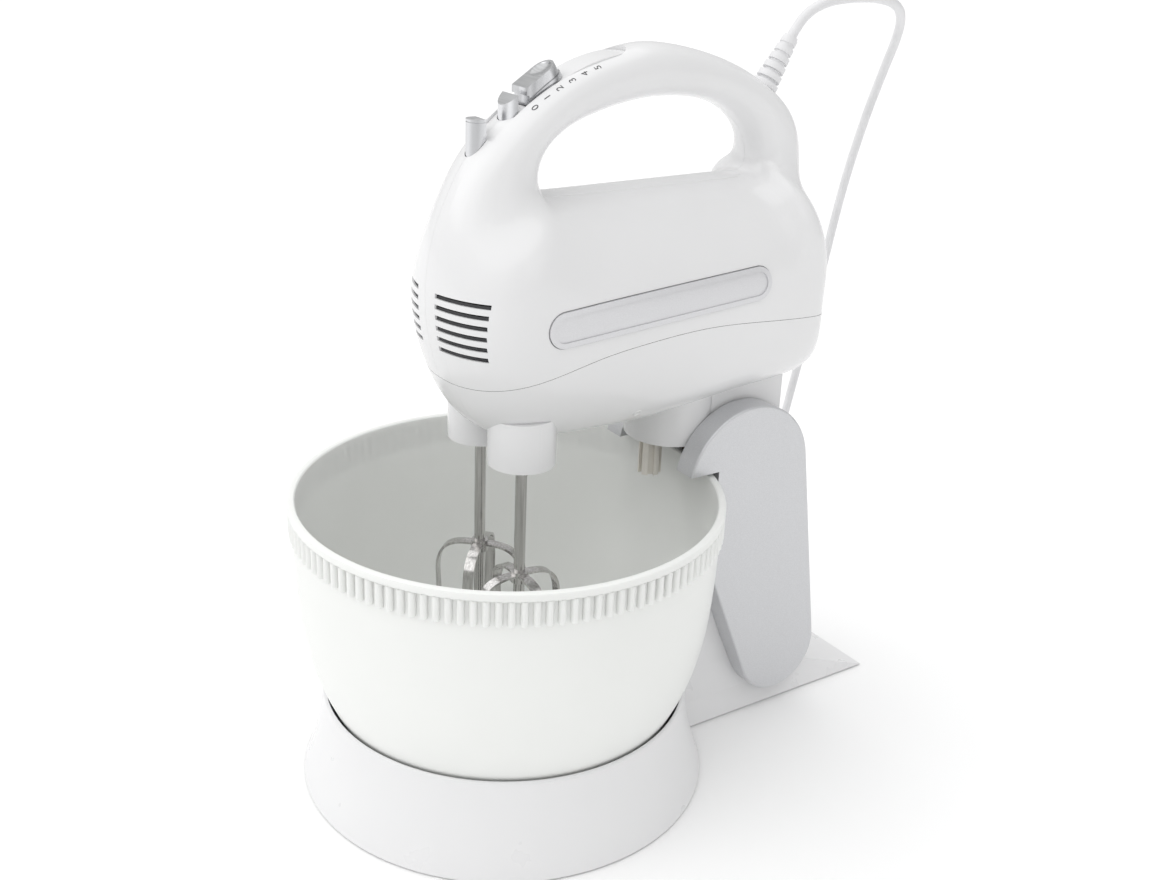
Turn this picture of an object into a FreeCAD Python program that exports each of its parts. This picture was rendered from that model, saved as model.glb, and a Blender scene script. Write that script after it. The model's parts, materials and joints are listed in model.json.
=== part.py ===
import FreeCAD, Part
import math
import os
from FreeCAD import Vector, Rotation, Placement

# Stand mixer: a hand mixer on a tilting stand with a turning bowl.
# Millimetres. The shapes are modelled about the bowl's axis (x = y = 0), on the table (z = 0),
# with the mixer's nose towards -Y, and are moved along Y at the end, so that the origin is the
# bottom centre of the whole mixer.

# ---------------------------------------------------------------- driving dimensions
# fits
RUN_FIT = 0.05            # radial clearance of a turning or sliding fit
TIGHT_FIT = 0.02          # radial clearance of a pressed or screwed fit
SEAT_GAP = 0.3            # gap between a piece and its seat, or between pieces of two bodies
PART_GAP = 0.2            # parting line between two moulded shells
SCREW_FIT = 0.2           # radial clearance of a screw in its hole

# bowl
RIM_R = 110.0             # outside of the toothed rim
RIM_Z = 159.0             # top of the rim
RIM_BAND_H = 4.0          # plain band above the teeth
TOOTH_H = 13.0            # height of the rim's teeth
TOOTH_D = 2.6             # depth of the rim's teeth
TEETH = 120
BOWL_WALL = 2.6
BOWL_FLOOR_Z = 17.0       # underside of the bowl
BOWL_FOOT_R = RIM_R - 50.0
# outside of the bowl below the rim: (radius below the rim's radius, height)
BOWL_STEPS = ((2.0, 136.0), (2.7, 118.0), (4.2, 98.0), (6.6, 82.0), (10.9, 65.0), (17.0, 50.0),
              (21.5, 41.0), (28.0, 31.0), (38.0, 22.0))

# base
BASE_R = RIM_R - 2.7      # outside of the skirt on the table
MOUTH_LIP_W = 1.7         # width of the skirt's top edge around the bowl
BASE_H = 50.0
BASE_WALL = 2.6
BASE_BULGE = -2.0         # how far the skirt bows out between its edges
MOUTH_GAP = 1.4           # radial gap between bowl and skirt at the skirt's top
SHELL_LIFT = 1.0          # the shell's edge above the table, on its feet
RECESS_Z = 10.0           # top of the floor under the turntable
FLOOR_T = 2.6
TAIL_HALF = 34.0          # half width of the tail on the table
COLUMN_HALF = 25.5        # half width of the column
COLUMN_TOP_Z = 135.0      # shoulder of the column under the knuckles
COLUMN_WALL = 3.0
TAIL_CREASE_Z = 14.0      # where the tail's low slope turns up into the column
BOWL_CLEAR = 3.0          # gap between the bowl and everything behind it
RIM_CLEAR = 2.0

# feet, plate and screws
FOOT_R = 8.0
FOOT_H = 2.6
FOOT_RING_R = BASE_R - 23.3
PLATE_T = 2.0
PLATE_MARGIN = 2.0        # from the skirt's inside at the table to the plate's edge
SCREW_R = 1.5
SCREW_HEAD_R = 3.0
SCREW_HEAD_H = 1.6
SCREW_L = 8.0
BOSS_WALL = 2.4
BOSS_REACH = 30.0         # a boss goes up to the shell above it, at most this far
WEB_T = 6.0               # thickness of the gear frame's web

# turntable
TABLE_R = BOWL_FOOT_R + 10.0
TABLE_T = 3.0
PIVOT_R = 6.0
HUB_R = 11.0
WASHER_T = 0.8

# hinge and side covers
HINGE_Y = RIM_R + RIM_CLEAR + 14.5
HINGE_Z = 153.0
PIN_R = 4.0
KNUCKLE_R = 16.5
TONGUE_HALF = 12.5
BUSH_WALL = 2.0
COVER_TOP_R = 40.4        # the cover's round top, about the hinge
COVER_FOOT_R = 26.5
COVER_FOOT_Y = HINGE_Y + 33.5
COVER_FOOT_Z = 38.5
COVER_FACE_X = 39.0       # outer face
COVER_WALL = 2.2
COVER_EDGE_R = 1.2

# column and tail, from the hinge
COLUMN_REAR_Y = HINGE_Y + 38.5
TAIL_SCREW_Y = HINGE_Y + 51.5
TAIL_FOOT_Y = HINGE_Y + 69.5
TAIL_CREASE_Y = HINGE_Y + 71.5
PLATE_END_Y = HINGE_Y + 79.5
TAIL_Y = HINGE_Y + 109.5  # rear edge of the tail

# latch
LATCH_Z = 112.0
LATCH_R = 7.0
LATCH_STEM_R = 3.0
LATCH_TRAVEL = 3.0
LATCH_PROUD = 4.0

# mixer body
SHELL_WALL = 2.4
CRADLE_HALF = 24.0
CRADLE_REAR_Y = HINGE_Y + 30.5
CRADLE_FRONT_Y = HINGE_Y - 18.5
CRADLE_BOTTOM_Z = 172.0
COLLAR_R = 16.8
COLLAR_Z = 183.0          # lower end of a beater collar
HOOD_R = 25.0
HOOD_Y = 101.0
HOOD_Z = 172.0            # lower edge of the hood
HOOD_WALL = 2.2
LOWER_FLOOR_Z = 200.0     # floor inside the lower shell

BODY_SCREW = (20.0, 63.0) # the screw in the lower shell: x, y

# side panels
PANEL_Y = 59.3
PANEL_Z = 259.3
PANEL_L = 133.0
PANEL_H = 17.2
PANEL_TILT = 3.2          # degrees, up towards the rear
PANEL_PROUD = 0.8
PANEL_DEPTH = 1.0
PANEL_RIM_W = 2.5         # raised rim around the panel's sunk face
PANEL_SUNK = 0.1          # how far the sunk face still stands out

# vents
VENT_ROWS = 6
VENT_H = 2.3
VENT_DEPTH = 1.3          # depth of a slot in front of its narrow slit
SLIT_H = 0.9
VENT_PITCH = 5.1
VENT_TOP_Z = 269.0
VENT_X0 = 8.0
VENT_X1 = 36.0
VENT_STEP = 0.4           # each slot is this much shorter than the one above
REAR_VENT_Z = 272.0
REAR_VENT_X1 = 30.0

# drive train
SOCKET_R = 6.0            # outside of the hollow spindle that holds a beater
SPINDLE_R = 3.0
SHAFT_Z = 240.0
SHAFT_R = 3.0
WORM_PITCH_R = 5.0
WORM_ROOT_R = 3.7
MODULE = 1.25
WHEEL_TEETH = 24
WHEEL_T = 7.0
BEATER_X = 20.0           # beater axes from the middle
BEATER_Y = -5.0
TURN_Y = 68.0             # worm wheel that turns the bowl's pinion
SPUR_MODULE = 1.4
SPUR_SMALL = 14
SPUR_LARGE = 27
SPUR_T = 4.2
SPUR_Z = 207.4
DRIVE_Y = 88.6            # the bowl pinion's axis
PINION_R = 6.3
PINION_TOP_Z = 190.0
PINION_Z = 150.0
PINION_GROOVES = 6
PINION_GROOVE_W = 3.0
PINION_GROOVE_T = 2.2
MOTOR_Y = 104.0           # front of the stator
STACK_L = 30.0
STACK_HALF = 28.0
BORE_R = 16.0
AIR_GAP = 0.5
COMM_R = 9.0
COMM_L = 12.0
FAN_R = 24.0
FAN_BLADES = 12
COMM_Y = MOTOR_Y + STACK_L + 6
BRUSH_Y = COMM_Y + COMM_L / 2
BEARING_R = 7.0
BEARING_L = 6.0

# beaters
ROD_R = 2.85
WHISK_TOP_Z = 122.0
WHISK_Z = 32.0
WHISK_R = 23.0
STRIP_W = 5.4
STRIP_T = 1.1
HUB_KNOB_R = 4.4          # hub and foot where a beater's strips meet

# switches on the handle
ARC_Y = 62.0              # centre of the handle's arc, which the slider follows
ARC_Z = 285.0
ARC_R = 89.5
SLIDER_W = 13.2
SLIDER_REACH = 10.0       # from the slider's middle to its front and rear
SLIDER_H = 5.1            # flat top above the arc, at the slider's middle
SLIDER_NOSE = 3.3         # height of the upright front face above its undercut
SLIDER_UNDERCUT = 1.5
SLIDER_FLANGE = 0.6       # how far the slider's foot stands out
SLIDER_FLANGE_H = 2.2
DIMPLE_R = 5.4
DIMPLE_DEPTH = 1.3
SLIDER_ANGLE = 123.2      # middle of the slider at position 0, from +Y
SLIDER_TRAVEL = 22.5      # degrees from 0 to 5
TRACK_W = 16.5
TRACK_DEPTH = 2.0
TRACK_LINING = 1.5        # thickness of the track's lining
TRACK_REAR_GAP = 1.2      # degrees left behind the slider at position 5
TRACK_FRONT_GAP = 3.3     # degrees left before the slider's middle face at position 0
CHANNEL_DEPTH = 1.4       # the shallow channel from the track on to the eject button
CHANNEL_END = 147.0       # degrees, at its front end
TURBO_Y = -2.7            # the turbo button's flat rear face
TURBO_HALF = 7.0
TURBO_D = 5.5             # from the flat rear face to the round front
TURBO_TOP_Z = 355.8
TURBO_LOW_Z = 338.0
TURBO_SLANT = 40.0        # degrees that the top falls towards the front
TURBO_SPRING_L = 5.0
TURBO_SPRING_R = 2.2
PLUNGER_R = 5.1
PLUNGER_Y = -20.0         # axis of the eject button's round front
PLUNGER_BACK = 2.0        # from that axis to its flat rear face
PLUNGER_TOP_Z = 345.8
PLUNGER_L = 41.8
PLUNGER_CAP_H = 1.0
PLUNGER_GROOVE = 0.4
EJECT_SPRING_L = 14.0
EJECT_SPRING_Y = -20.8
EJECT_SPRING_R = 3.0
REAR_BEARING_Y = 164.0

# cord
CORD_R = 2.6
GLAND_Y = 146.5
GLAND_Z = 350.0
GLAND_LEAN = 33.0         # degrees from straight up, towards the rear
GLAND_L = 30.0
GLAND_R0 = 6.8
GLAND_R1 = 4.2
GLAND_RIBS = 6


# ---------------------------------------------------------------- helpers
X_AXIS = Vector(1, 0, 0)
Y_AXIS = Vector(0, 1, 0)
Z_AXIS = Vector(0, 0, 1)


def cylinder(radius, length, start, axis=Z_AXIS):
    return Part.makeCylinder(radius, length, Vector(*start), axis)


def cone(radius_1, radius_2, length, start, axis=Z_AXIS):
    return Part.makeCone(radius_1, radius_2, length, Vector(*start), axis)


def box(low, high):
    size = [b - a for a, b in zip(low, high)]
    return Part.makeBox(*size, Vector(*low))


def tube(outer, inner, length, start, axis=Z_AXIS):
    return cylinder(outer, length, start, axis).cut(cylinder(inner, length, start, axis))


def union(shapes):
    shapes = list(shapes)
    if len(shapes) == 1:
        return shapes[0]
    return shapes[0].multiFuse(shapes[1:]).removeSplitter()


def mirrored(shape):
    return shape.mirror(Vector(0, 0, 0), X_AXIS)


def prism_x(points, x_low, x_high):
    """Outline of (y, z) points, extruded along X."""
    wire = Part.makePolygon([Vector(x_low, y, z) for y, z in points] + [Vector(x_low, *points[0])])
    return Part.Face(wire).extrude(Vector(x_high - x_low, 0, 0))


def prism_y(points, y_low, y_high):
    """Outline of (x, z) points, extruded along Y."""
    first = points[0]
    wire = Part.makePolygon([Vector(x, y_low, z) for x, z in points] + [Vector(first[0], y_low, first[1])])
    return Part.Face(wire).extrude(Vector(0, y_high - y_low, 0))


def smooth_edge(points):
    curve = Part.BSplineCurve()
    curve.interpolate([Vector(*p) for p in points])
    return curve.toShape()


def turned(edges):
    """Solid of revolution about the bowl's axis from edges in the XZ plane."""
    return Part.Face(Part.Wire(edges)).revolve(Vector(0, 0, 0), Z_AXIS, 360)


def line(a, b):
    return Part.makeLine(Vector(a[0], 0, a[1]), Vector(b[0], 0, b[1]))


def curve_xz(points):
    return smooth_edge([(r, 0, z) for r, z in points])


def on_arc(radius, degrees, x=0.0):
    """A point at a radius and an angle from +Y about the handle's arc centre."""
    a = math.radians(degrees)
    return Vector(x, ARC_Y + radius * math.cos(a), ARC_Z + radius * math.sin(a))


# ---------------------------------------------------------------- mixer body form
# The body is one ring around the finger gap. Each station gives the gap's edge, the outer edge
# (y, z), the half width there, and how square the outer half of the section is.
STATIONS = (
    ((82.0, 350.5), (78.0, 375.6), 15.0, 2.2),
    ((62.0, 349.5), (55.0, 374.0), 15.0, 2.2),
    ((42.0, 345.5), (28.0, 366.8), 15.5, 2.2),
    ((24.0, 339.5), (2.0, 353.5), 17.0, 2.2),
    ((12.5, 331.0), (-22.0, 333.0), 19.0, 2.2),
    ((8.5, 322.0), (-35.0, 313.0), 21.5, 2.1),
    ((8.3, 315.5), (-43.0, 292.5), 27.0, 2.0),
    ((9.6, 311.0), (-46.5, 268.0), 38.0, 2.0),
    ((13.6, 309.1), (-44.0, 243.0), 43.5, 2.2),
    ((22.0, 308.7), (-34.0, 215.0), 45.0, 2.3),
    ((35.0, 308.7), (-13.0, 195.0), 45.0, 2.5),
    ((50.0, 308.7), (26.0, 190.0), 44.5, 2.6),
    ((75.0, 308.7), (70.0, 190.5), 44.0, 2.8),
    ((100.0, 308.7), (115.0, 195.5), 43.5, 3.0),
    ((115.0, 308.7), (150.0, 198.0), 43.0, 3.0),
    ((124.0, 308.7), (176.0, 203.0), 42.0, 2.6),
    ((131.2, 309.1), (180.0, 225.0), 42.0, 2.2),
    ((135.6, 310.8), (179.0, 255.0), 41.0, 2.2),
    ((137.7, 314.3), (173.0, 283.0), 33.0, 2.2),
    ((138.0, 318.0), (168.5, 300.0), 22.0, 2.2),
    ((136.5, 325.0), (168.5, 316.0), 17.5, 2.2),
    ((131.5, 333.0), (163.0, 336.0), 16.0, 2.2),
    ((121.0, 341.5), (144.0, 353.5), 15.5, 2.2),
    ((104.0, 348.0), (113.0, 368.0), 15.3, 2.2),
)
GAP_SQUARENESS = 2.2
SECTION_POINTS = 24
# parting line between the upper and the lower shell, in side view
PARTING_HALF_W = 70.0
PARTING = ((-80, 227), (-25, 228), (2, 234), (25, 239), (50, 242), (87, 244), (128, 241.5), (165, 238.5),
           (220, 237))


def section(station, inset):
    (gap_y, gap_z), (out_y, out_z), half_width, squareness = station
    span = math.hypot(out_y - gap_y, out_z - gap_z)
    dir_y = (out_y - gap_y) / span
    dir_z = (out_z - gap_z) / span
    half = span / 2 - inset
    width = half_width - inset
    points = []
    for i in range(SECTION_POINTS):
        a = 2 * math.pi * i / SECTION_POINTS
        power = squareness if math.cos(a) > 0 else GAP_SQUARENESS
        reach = (abs(math.cos(a)) ** power + abs(math.sin(a)) ** power) ** (-1 / power)
        along = half * reach * math.cos(a)
        across = width * reach * math.sin(a)
        middle_y = (gap_y + out_y) / 2
        middle_z = (gap_z + out_z) / 2
        points.append(Vector(across, middle_y + dir_y * along, middle_z + dir_z * along))
    return points


def spline_poles(points):
    """Poles of the closed uniform cubic spline that passes through the points."""
    poles = list(points)
    count = len(poles)
    for _ in range(40):
        for i in range(count):
            poles[i] = (points[i] * 6 - poles[i - 1] - poles[(i + 1) % count]) * 0.25
    return poles


def body_form(inset=0.0):
    """The mixer body's outer form as one solid, moved in by inset (out, if negative)."""
    rings = [spline_poles(section(s, inset)) for s in STATIONS]
    columns = [spline_poles([ring[i] for ring in rings]) for i in range(SECTION_POINTS)]
    poles = [[column[j] for column in columns] for j in range(len(rings))]
    count_u, count_v = len(poles), SECTION_POINTS
    surface = Part.BSplineSurface()
    surface.buildFromPolesMultsKnots(
        poles, [1] * (count_u + 1), [1] * (count_v + 1),
        [float(k) for k in range(count_u + 1)], [float(k) for k in range(count_v + 1)],
        True, True, 3, 3)
    surface.setUNotPeriodic()
    surface.setVNotPeriodic()
    u0, u1, v0, v1 = surface.bounds()
    faces = []
    for i in range(2):
        for j in range(2):
            patch = surface.copy()
            patch.segment(u0 + (u1 - u0) * i / 2, u0 + (u1 - u0) * (i + 1) / 2,
                          v0 + (v1 - v0) * j / 2, v0 + (v1 - v0) * (j + 1) / 2)
            faces.append(patch.toShape())
    shell = Part.Shell(faces)
    shell.sewShape()
    solid = Part.Solid(shell)
    if solid.Volume < 0:
        solid.reverse()
    return solid


def above_parting(lift=0.0):
    """Everything above the parting line, which is moved up by lift."""
    edge = smooth_edge([(-PARTING_HALF_W, y, z + lift) for y, z in PARTING])
    first, last = PARTING[0], PARTING[-1]
    corners = [
        Vector(-PARTING_HALF_W, last[0], last[1] + lift),
        Vector(-PARTING_HALF_W, last[0], 500),
        Vector(-PARTING_HALF_W, first[0], 500),
        Vector(-PARTING_HALF_W, first[0], first[1] + lift),
    ]
    sides = [Part.makeLine(corners[i], corners[i + 1]) for i in range(3)]
    return Part.Face(Part.Wire([edge] + sides)).extrude(Vector(2 * PARTING_HALF_W, 0, 0))


# ---------------------------------------------------------------- bowl and turntable
def bowl_outline(offset):
    """Outer wall points (radius, z) from the rim's lower edge to the foot, moved out by offset."""
    return [(RIM_R - step + offset, z - offset * 0.3) for step, z in BOWL_STEPS]


def rim_teeth():
    root = RIM_R - TOOTH_D
    pitch = 2 * math.pi / TEETH
    points = []
    for i in range(TEETH):
        for radius, share in ((root, -0.27), (RIM_R, -0.2), (RIM_R, 0.2), (root, 0.27)):
            a = (i + share) * pitch
            points.append(Vector(radius * math.cos(a), radius * math.sin(a), RIM_Z - RIM_BAND_H - TOOTH_H))
    points.append(points[0])
    ring = Part.Face(Part.makePolygon(points)).extrude(Vector(0, 0, TOOTH_H))
    return ring.cut(cylinder(root - 1.0, TOOTH_H, (0, 0, RIM_Z - RIM_BAND_H - TOOTH_H)))


def bowl():
    outer = bowl_outline(0.0)
    inner = bowl_outline(-BOWL_WALL)
    root = RIM_R - TOOTH_D
    band_z = RIM_Z - RIM_BAND_H
    lip = RIM_R - TOOTH_D - 1.4
    floor_in = BOWL_FLOOR_Z + BOWL_WALL
    edges = [
        line((0, BOWL_FLOOR_Z), (BOWL_FOOT_R, BOWL_FLOOR_Z)),
        curve_xz([(BOWL_FOOT_R, BOWL_FLOOR_Z)] + outer[::-1]),
        line(outer[0], (root, band_z - TOOTH_H)),
        line((root, band_z - TOOTH_H), (root, band_z)),
        line((root, band_z), (RIM_R, band_z)),
        line((RIM_R, band_z), (RIM_R, RIM_Z - 0.8)),
        line((RIM_R, RIM_Z - 0.8), (RIM_R - 0.8, RIM_Z)),
        line((RIM_R - 0.8, RIM_Z), (lip, RIM_Z)),
        line((lip, RIM_Z), inner[0]),
        curve_xz(inner + [(BOWL_FOOT_R - BOWL_WALL, floor_in)]),
        line((BOWL_FOOT_R - BOWL_WALL, floor_in), (0, floor_in)),
        line((0, floor_in), (0, BOWL_FLOOR_Z)),
    ]
    body = turned(edges)
    return union([body, rim_teeth()])


def bowl_clearance():
    """The space kept free for the turning bowl and its rim."""
    outer = bowl_outline(BOWL_CLEAR)
    top = RIM_R + RIM_CLEAR
    edges = [
        line((0, outer[-1][1]), outer[-1]),
        curve_xz(outer[::-1]),
        line(outer[0], (top, outer[0][1])),
        line((top, outer[0][1]), (top, RIM_Z + RIM_CLEAR)),
        line((top, RIM_Z + RIM_CLEAR), (0, RIM_Z + RIM_CLEAR)),
        line((0, RIM_Z + RIM_CLEAR), (0, outer[-1][1])),
    ]
    return turned(edges)


def turntable():
    top = BOWL_FLOOR_Z - 0.05
    disc = cylinder(TABLE_R, TABLE_T, (0, 0, top - TABLE_T))
    low = RECESS_Z + WASHER_T + SEAT_GAP
    hub = cylinder(HUB_R, top - low, (0, 0, low))
    ribs = [box((HUB_R - 1, -1.2, low + 1), (TABLE_R - 4, 1.2, top - 1)) for _ in range(6)]
    for i, rib in enumerate(ribs):
        rib.rotate(Vector(0, 0, 0), Z_AXIS, 60 * i)
    bore = cylinder(PIVOT_R + RUN_FIT, top - 1.5 - low, (0, 0, low))
    return union([disc, hub] + ribs).cut(bore)


def turntable_pivot():
    low = RECESS_Z
    top = BOWL_FLOOR_Z - 2.2
    return cylinder(PIVOT_R, top - low, (0, 0, low))


def pivot_washer():
    return tube(HUB_R + 1, PIVOT_R + RUN_FIT, WASHER_T, (0, 0, RECESS_Z))


# ---------------------------------------------------------------- base and column
def column_side(inset=0.0):
    """The column's and tail's outline in side view: (y, z)."""
    rear = [(TAIL_Y - inset, SHELL_LIFT), (TAIL_CREASE_Y, TAIL_CREASE_Z - inset)]
    steps = 6
    rise_y = COLUMN_REAR_Y - inset
    rise_z = 70.0
    for i in range(1, steps + 1):
        a = math.pi / 2 * i / steps
        rear.append((TAIL_CREASE_Y - (TAIL_CREASE_Y - rise_y) * math.sin(a),
                     rise_z - (rise_z - TAIL_CREASE_Z + inset) * math.cos(a)))
    front = 70.0 + inset
    return rear + [(rise_y, COLUMN_TOP_Z - inset), (front, COLUMN_TOP_Z - inset), (front, SHELL_LIFT)]


def column_front(inset=0.0):
    """The column's and tail's outline from the front: (x, z), leaning in from the table."""
    half = COLUMN_HALF - inset
    foot = TAIL_HALF - inset
    right = [(foot, SHELL_LIFT), (half + (foot - half) * 0.45, 14.0), (half + (foot - half) * 0.12, 34.0),
             (half, 52.0), (half, 260.0)]
    return right + [(-x, z) for x, z in right[::-1]]


def column_body(inset=0.0):
    side = prism_x(column_side(inset), -TAIL_HALF - 1, TAIL_HALF + 1)
    return side.common(prism_y(column_front(inset), 0, TAIL_Y + 10))


def skirt_outline(inset=0.0):
    top_r = skirt_top_radius()
    mid_r = (BASE_R + top_r) / 2 + BASE_BULGE - inset
    return [(BASE_R - inset, SHELL_LIFT), (mid_r, BASE_H / 2), (top_r - inset, BASE_H - 1.5)]


def bowl_radius(height):
    """Outside of the bowl at a height, between the steps of its wall."""
    steps = sorted((z, RIM_R - step) for step, z in BOWL_STEPS)
    for (z0, r0), (z1, r1) in zip(steps, steps[1:]):
        if height <= z1:
            return r0 + (r1 - r0) * (height - z0) / (z1 - z0)
    return steps[-1][1]


def mouth_radius():
    return bowl_radius(BASE_H) + MOUTH_GAP


def skirt_top_radius():
    return mouth_radius() + MOUTH_LIP_W


def skirt_solid():
    """The round base as a full solid, without its recess."""
    outer = skirt_outline()
    top_r = skirt_top_radius()
    edges = [
        line((0, SHELL_LIFT), outer[0]),
        curve_xz(outer),
        curve_xz([outer[-1], (top_r - 0.5, BASE_H - 0.4), (top_r - 1.4, BASE_H)]),
        line((top_r - 1.4, BASE_H), (0, BASE_H)),
        line((0, BASE_H), (0, SHELL_LIFT)),
    ]
    return turned(edges)


def recess_solid(offset=0.0):
    """The dish under the bowl, from the mouth down to the turntable floor, moved out by offset."""
    mouth = mouth_radius() + offset
    low = RECESS_Z - offset
    edges = [
        line((0, low), (TABLE_R + 6 + offset, low)),
        curve_xz([(TABLE_R + 6 + offset, low), (mouth - 8, 24.0 - offset), (mouth - 1.2, BASE_H - 8),
                  (mouth, BASE_H - 2)]),
        line((mouth, BASE_H - 2), (mouth, BASE_H + 1)),
        line((mouth, BASE_H + 1), (0, BASE_H + 1)),
        line((0, BASE_H + 1), (0, low)),
    ]
    return turned(edges)


def skirt_cavity():
    """The hollow inside the skirt, open to the table."""
    inner = skirt_outline(BASE_WALL)
    edges = [
        line((0, SHELL_LIFT), inner[0]),
        curve_xz(inner),
        line(inner[-1], (0, inner[-1][1])),
        line((0, inner[-1][1]), (0, SHELL_LIFT)),
    ]
    below_top = turned(edges)
    return below_top.cut(recess_solid(FLOOR_T))


def screw_places():
    ring = [(FOOT_RING_R - 22, 30 + 120 * i) for i in range(3)]
    places = [(r * math.cos(math.radians(a)), r * math.sin(math.radians(a))) for r, a in ring]
    return places + [(0.0, TAIL_SCREW_Y)]


def foot_places():
    ring = [(FOOT_RING_R * math.cos(math.radians(a)), FOOT_RING_R * math.sin(math.radians(a)))
            for a in (-60, -120, 180, 0)]
    return ring + [(side * (COLUMN_HALF - FOOT_R), TAIL_FOOT_Y) for side in (-1, 1)]


def plate_z():
    return FOOT_H + PLATE_T


def base_shell():
    outside = union([skirt_solid(), column_body().cut(bowl_clearance())])
    hollow_column = column_body(COLUMN_WALL).common(box((-60, 70, 0), (60, 260, COLUMN_TOP_Z)))
    shell = outside.cut(recess_solid())
    hollow = hollow_column.cut(recess_solid(FLOOR_T))
    hollow = hollow.cut(cylinder_about_bowl(COLUMN_WALL))
    shell = shell.cut(hollow)
    shell = shell.cut(skirt_cavity())
    # knuckles of the tilt hinge, each side of the tongue
    gap = TONGUE_HALF + SEAT_GAP
    knuckle = cylinder(KNUCKLE_R, COLUMN_HALF - gap, (gap, HINGE_Y, HINGE_Z), X_AXIS)
    web = box((gap, HINGE_Y - KNUCKLE_R, COLUMN_TOP_Z - COLUMN_WALL),
              (COLUMN_HALF, HINGE_Y + KNUCKLE_R, HINGE_Z))
    web = web.cut(bowl_clearance())
    right = union([knuckle.cut(bowl_clearance()), web])
    shell = union([shell, right, mirrored(right)])
    bosses = []
    for x, y in screw_places():
        boss = cylinder(SCREW_R + BOSS_WALL, BOSS_REACH, (x, y, plate_z() + SEAT_GAP / 3))
        bosses.append(boss.common(outside).cut(recess_solid(FLOOR_T / 2)))
    shell = union([shell] + bosses)
    for x, y in screw_places():
        shell = shell.cut(cylinder(SCREW_R + TIGHT_FIT, FOOT_H + SCREW_L - 1, (x, y, 0)))
    pin = cylinder(PIN_R + TIGHT_FIT, 2 * COLUMN_HALF, (-COLUMN_HALF, HINGE_Y, HINGE_Z), X_AXIS)
    shell = shell.cut(pin)
    latch = cylinder(LATCH_STEM_R + RUN_FIT, 40, (0, COLUMN_REAR_Y - 20, LATCH_Z), Y_AXIS)
    return shell.cut(latch)


def cylinder_about_bowl(extra):
    """The bowl's clearance, grown, so that the column keeps a wall behind the bowl."""
    return cylinder(RIM_R + RIM_CLEAR + extra, RIM_Z, (0, 0, BASE_H)).common(
        box((-60, 0, BASE_H), (60, 200, RIM_Z)))


def base_plate():
    z0 = FOOT_H
    disc = cylinder(BASE_R - BASE_WALL - PLATE_MARGIN, PLATE_T, (0, 0, z0))
    half = TAIL_HALF - COLUMN_WALL - SEAT_GAP - 1.8
    tail = box((-half, 80, z0), (half, PLATE_END_Y, z0 + PLATE_T))
    plate = union([disc, tail])
    for x, y in screw_places():
        plate = plate.cut(cylinder(SCREW_R + SCREW_FIT, PLATE_T, (x, y, z0)))
    return plate


def rubber_feet():
    return Part.Compound([cylinder(FOOT_R, FOOT_H, (x, y, 0)) for x, y in foot_places()])


def screw(x, y, z, axis=Z_AXIS, length=SCREW_L - 1):
    """A screw whose head's seat is at the given point, with its shank along the axis."""
    seat = Vector(x, y, z)
    head = Part.makeCylinder(SCREW_HEAD_R, SCREW_HEAD_H, seat - axis * SCREW_HEAD_H, axis)
    shank = Part.makeCylinder(SCREW_R, length, seat - axis * 0.5, axis)
    slot = Part.makeCylinder(SCREW_HEAD_R * 0.45, 0.8, seat - axis * SCREW_HEAD_H, axis)
    return head.fuse(shank).cut(slot)


def base_screws():
    return Part.Compound([screw(x, y, FOOT_H) for x, y in screw_places()])


# ---------------------------------------------------------------- hinge, covers and latch
def cover_outline(inset):
    """Outline of a side cover: a round top and a round foot, joined by their tangents."""
    r_top = COVER_TOP_R - inset
    r_foot = COVER_FOOT_R - inset
    top = Vector(0, HINGE_Y, HINGE_Z)
    foot = Vector(0, COVER_FOOT_Y, COVER_FOOT_Z)
    along = foot - top
    length = along.Length
    along.normalize()
    side = Vector(0, -along.z, along.y)
    cos_a = (r_top - r_foot) / length
    sin_a = math.sqrt(1 - cos_a ** 2)
    left = along * cos_a + side * sin_a
    right = along * cos_a - side * sin_a
    a, b = top + left * r_top, foot + left * r_foot
    c, d = foot + right * r_foot, top + right * r_top
    return Part.Wire([
        Part.makeLine(a, b),
        Part.Arc(b, foot + along * r_foot, c).toShape(),
        Part.makeLine(c, d),
        Part.Arc(d, top - along * r_top, a).toShape(),
    ])


def cover_prism(inset, x_low, x_high):
    face = Part.Face(cover_outline(inset))
    solid = face.extrude(Vector(x_high - x_low, 0, 0))
    solid.translate(Vector(x_low, 0, 0))
    return solid


def side_cover():
    """The right cover: a dished shell over the column and the hinge."""
    inner_x = COLUMN_HALF + PART_GAP
    outer = cover_prism(0.0, inner_x, COVER_FACE_X)
    rim_edges = [e for e in outer.Edges if min(v.X for v in e.Vertexes) > COVER_FACE_X - 0.01]
    outer = outer.makeFillet(COVER_EDGE_R, rim_edges)
    hollow = cover_prism(COVER_WALL, inner_x - 1, COVER_FACE_X - COVER_WALL)
    cover = outer.cut(hollow)
    cover = cover.cut(bowl_clearance())
    skin = bowl_clearance_skin(inner_x)
    cover = union([cover, skin])
    cover = cover.cut(column_body(-PART_GAP))
    boss = tube(PIN_R + 3.0, PIN_R + TIGHT_FIT, COVER_FACE_X - COVER_WALL - inner_x + 0.5,
                (inner_x, HINGE_Y, HINGE_Z), X_AXIS)
    return union([cover, boss])


def bowl_clearance_skin(inner_x):
    """The cover's wall along the relief that lets the rim pass."""
    low = RIM_R + RIM_CLEAR
    height = RIM_Z + RIM_CLEAR + COVER_WALL
    ring = cylinder(low + COVER_WALL, height, (0, 0, 0)).cut(cylinder(low, RIM_Z + RIM_CLEAR, (0, 0, 0)))
    inside = cover_prism(COVER_WALL / 2, inner_x, COVER_FACE_X - COVER_WALL / 2)
    return ring.common(inside).cut(bowl_clearance())


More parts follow.
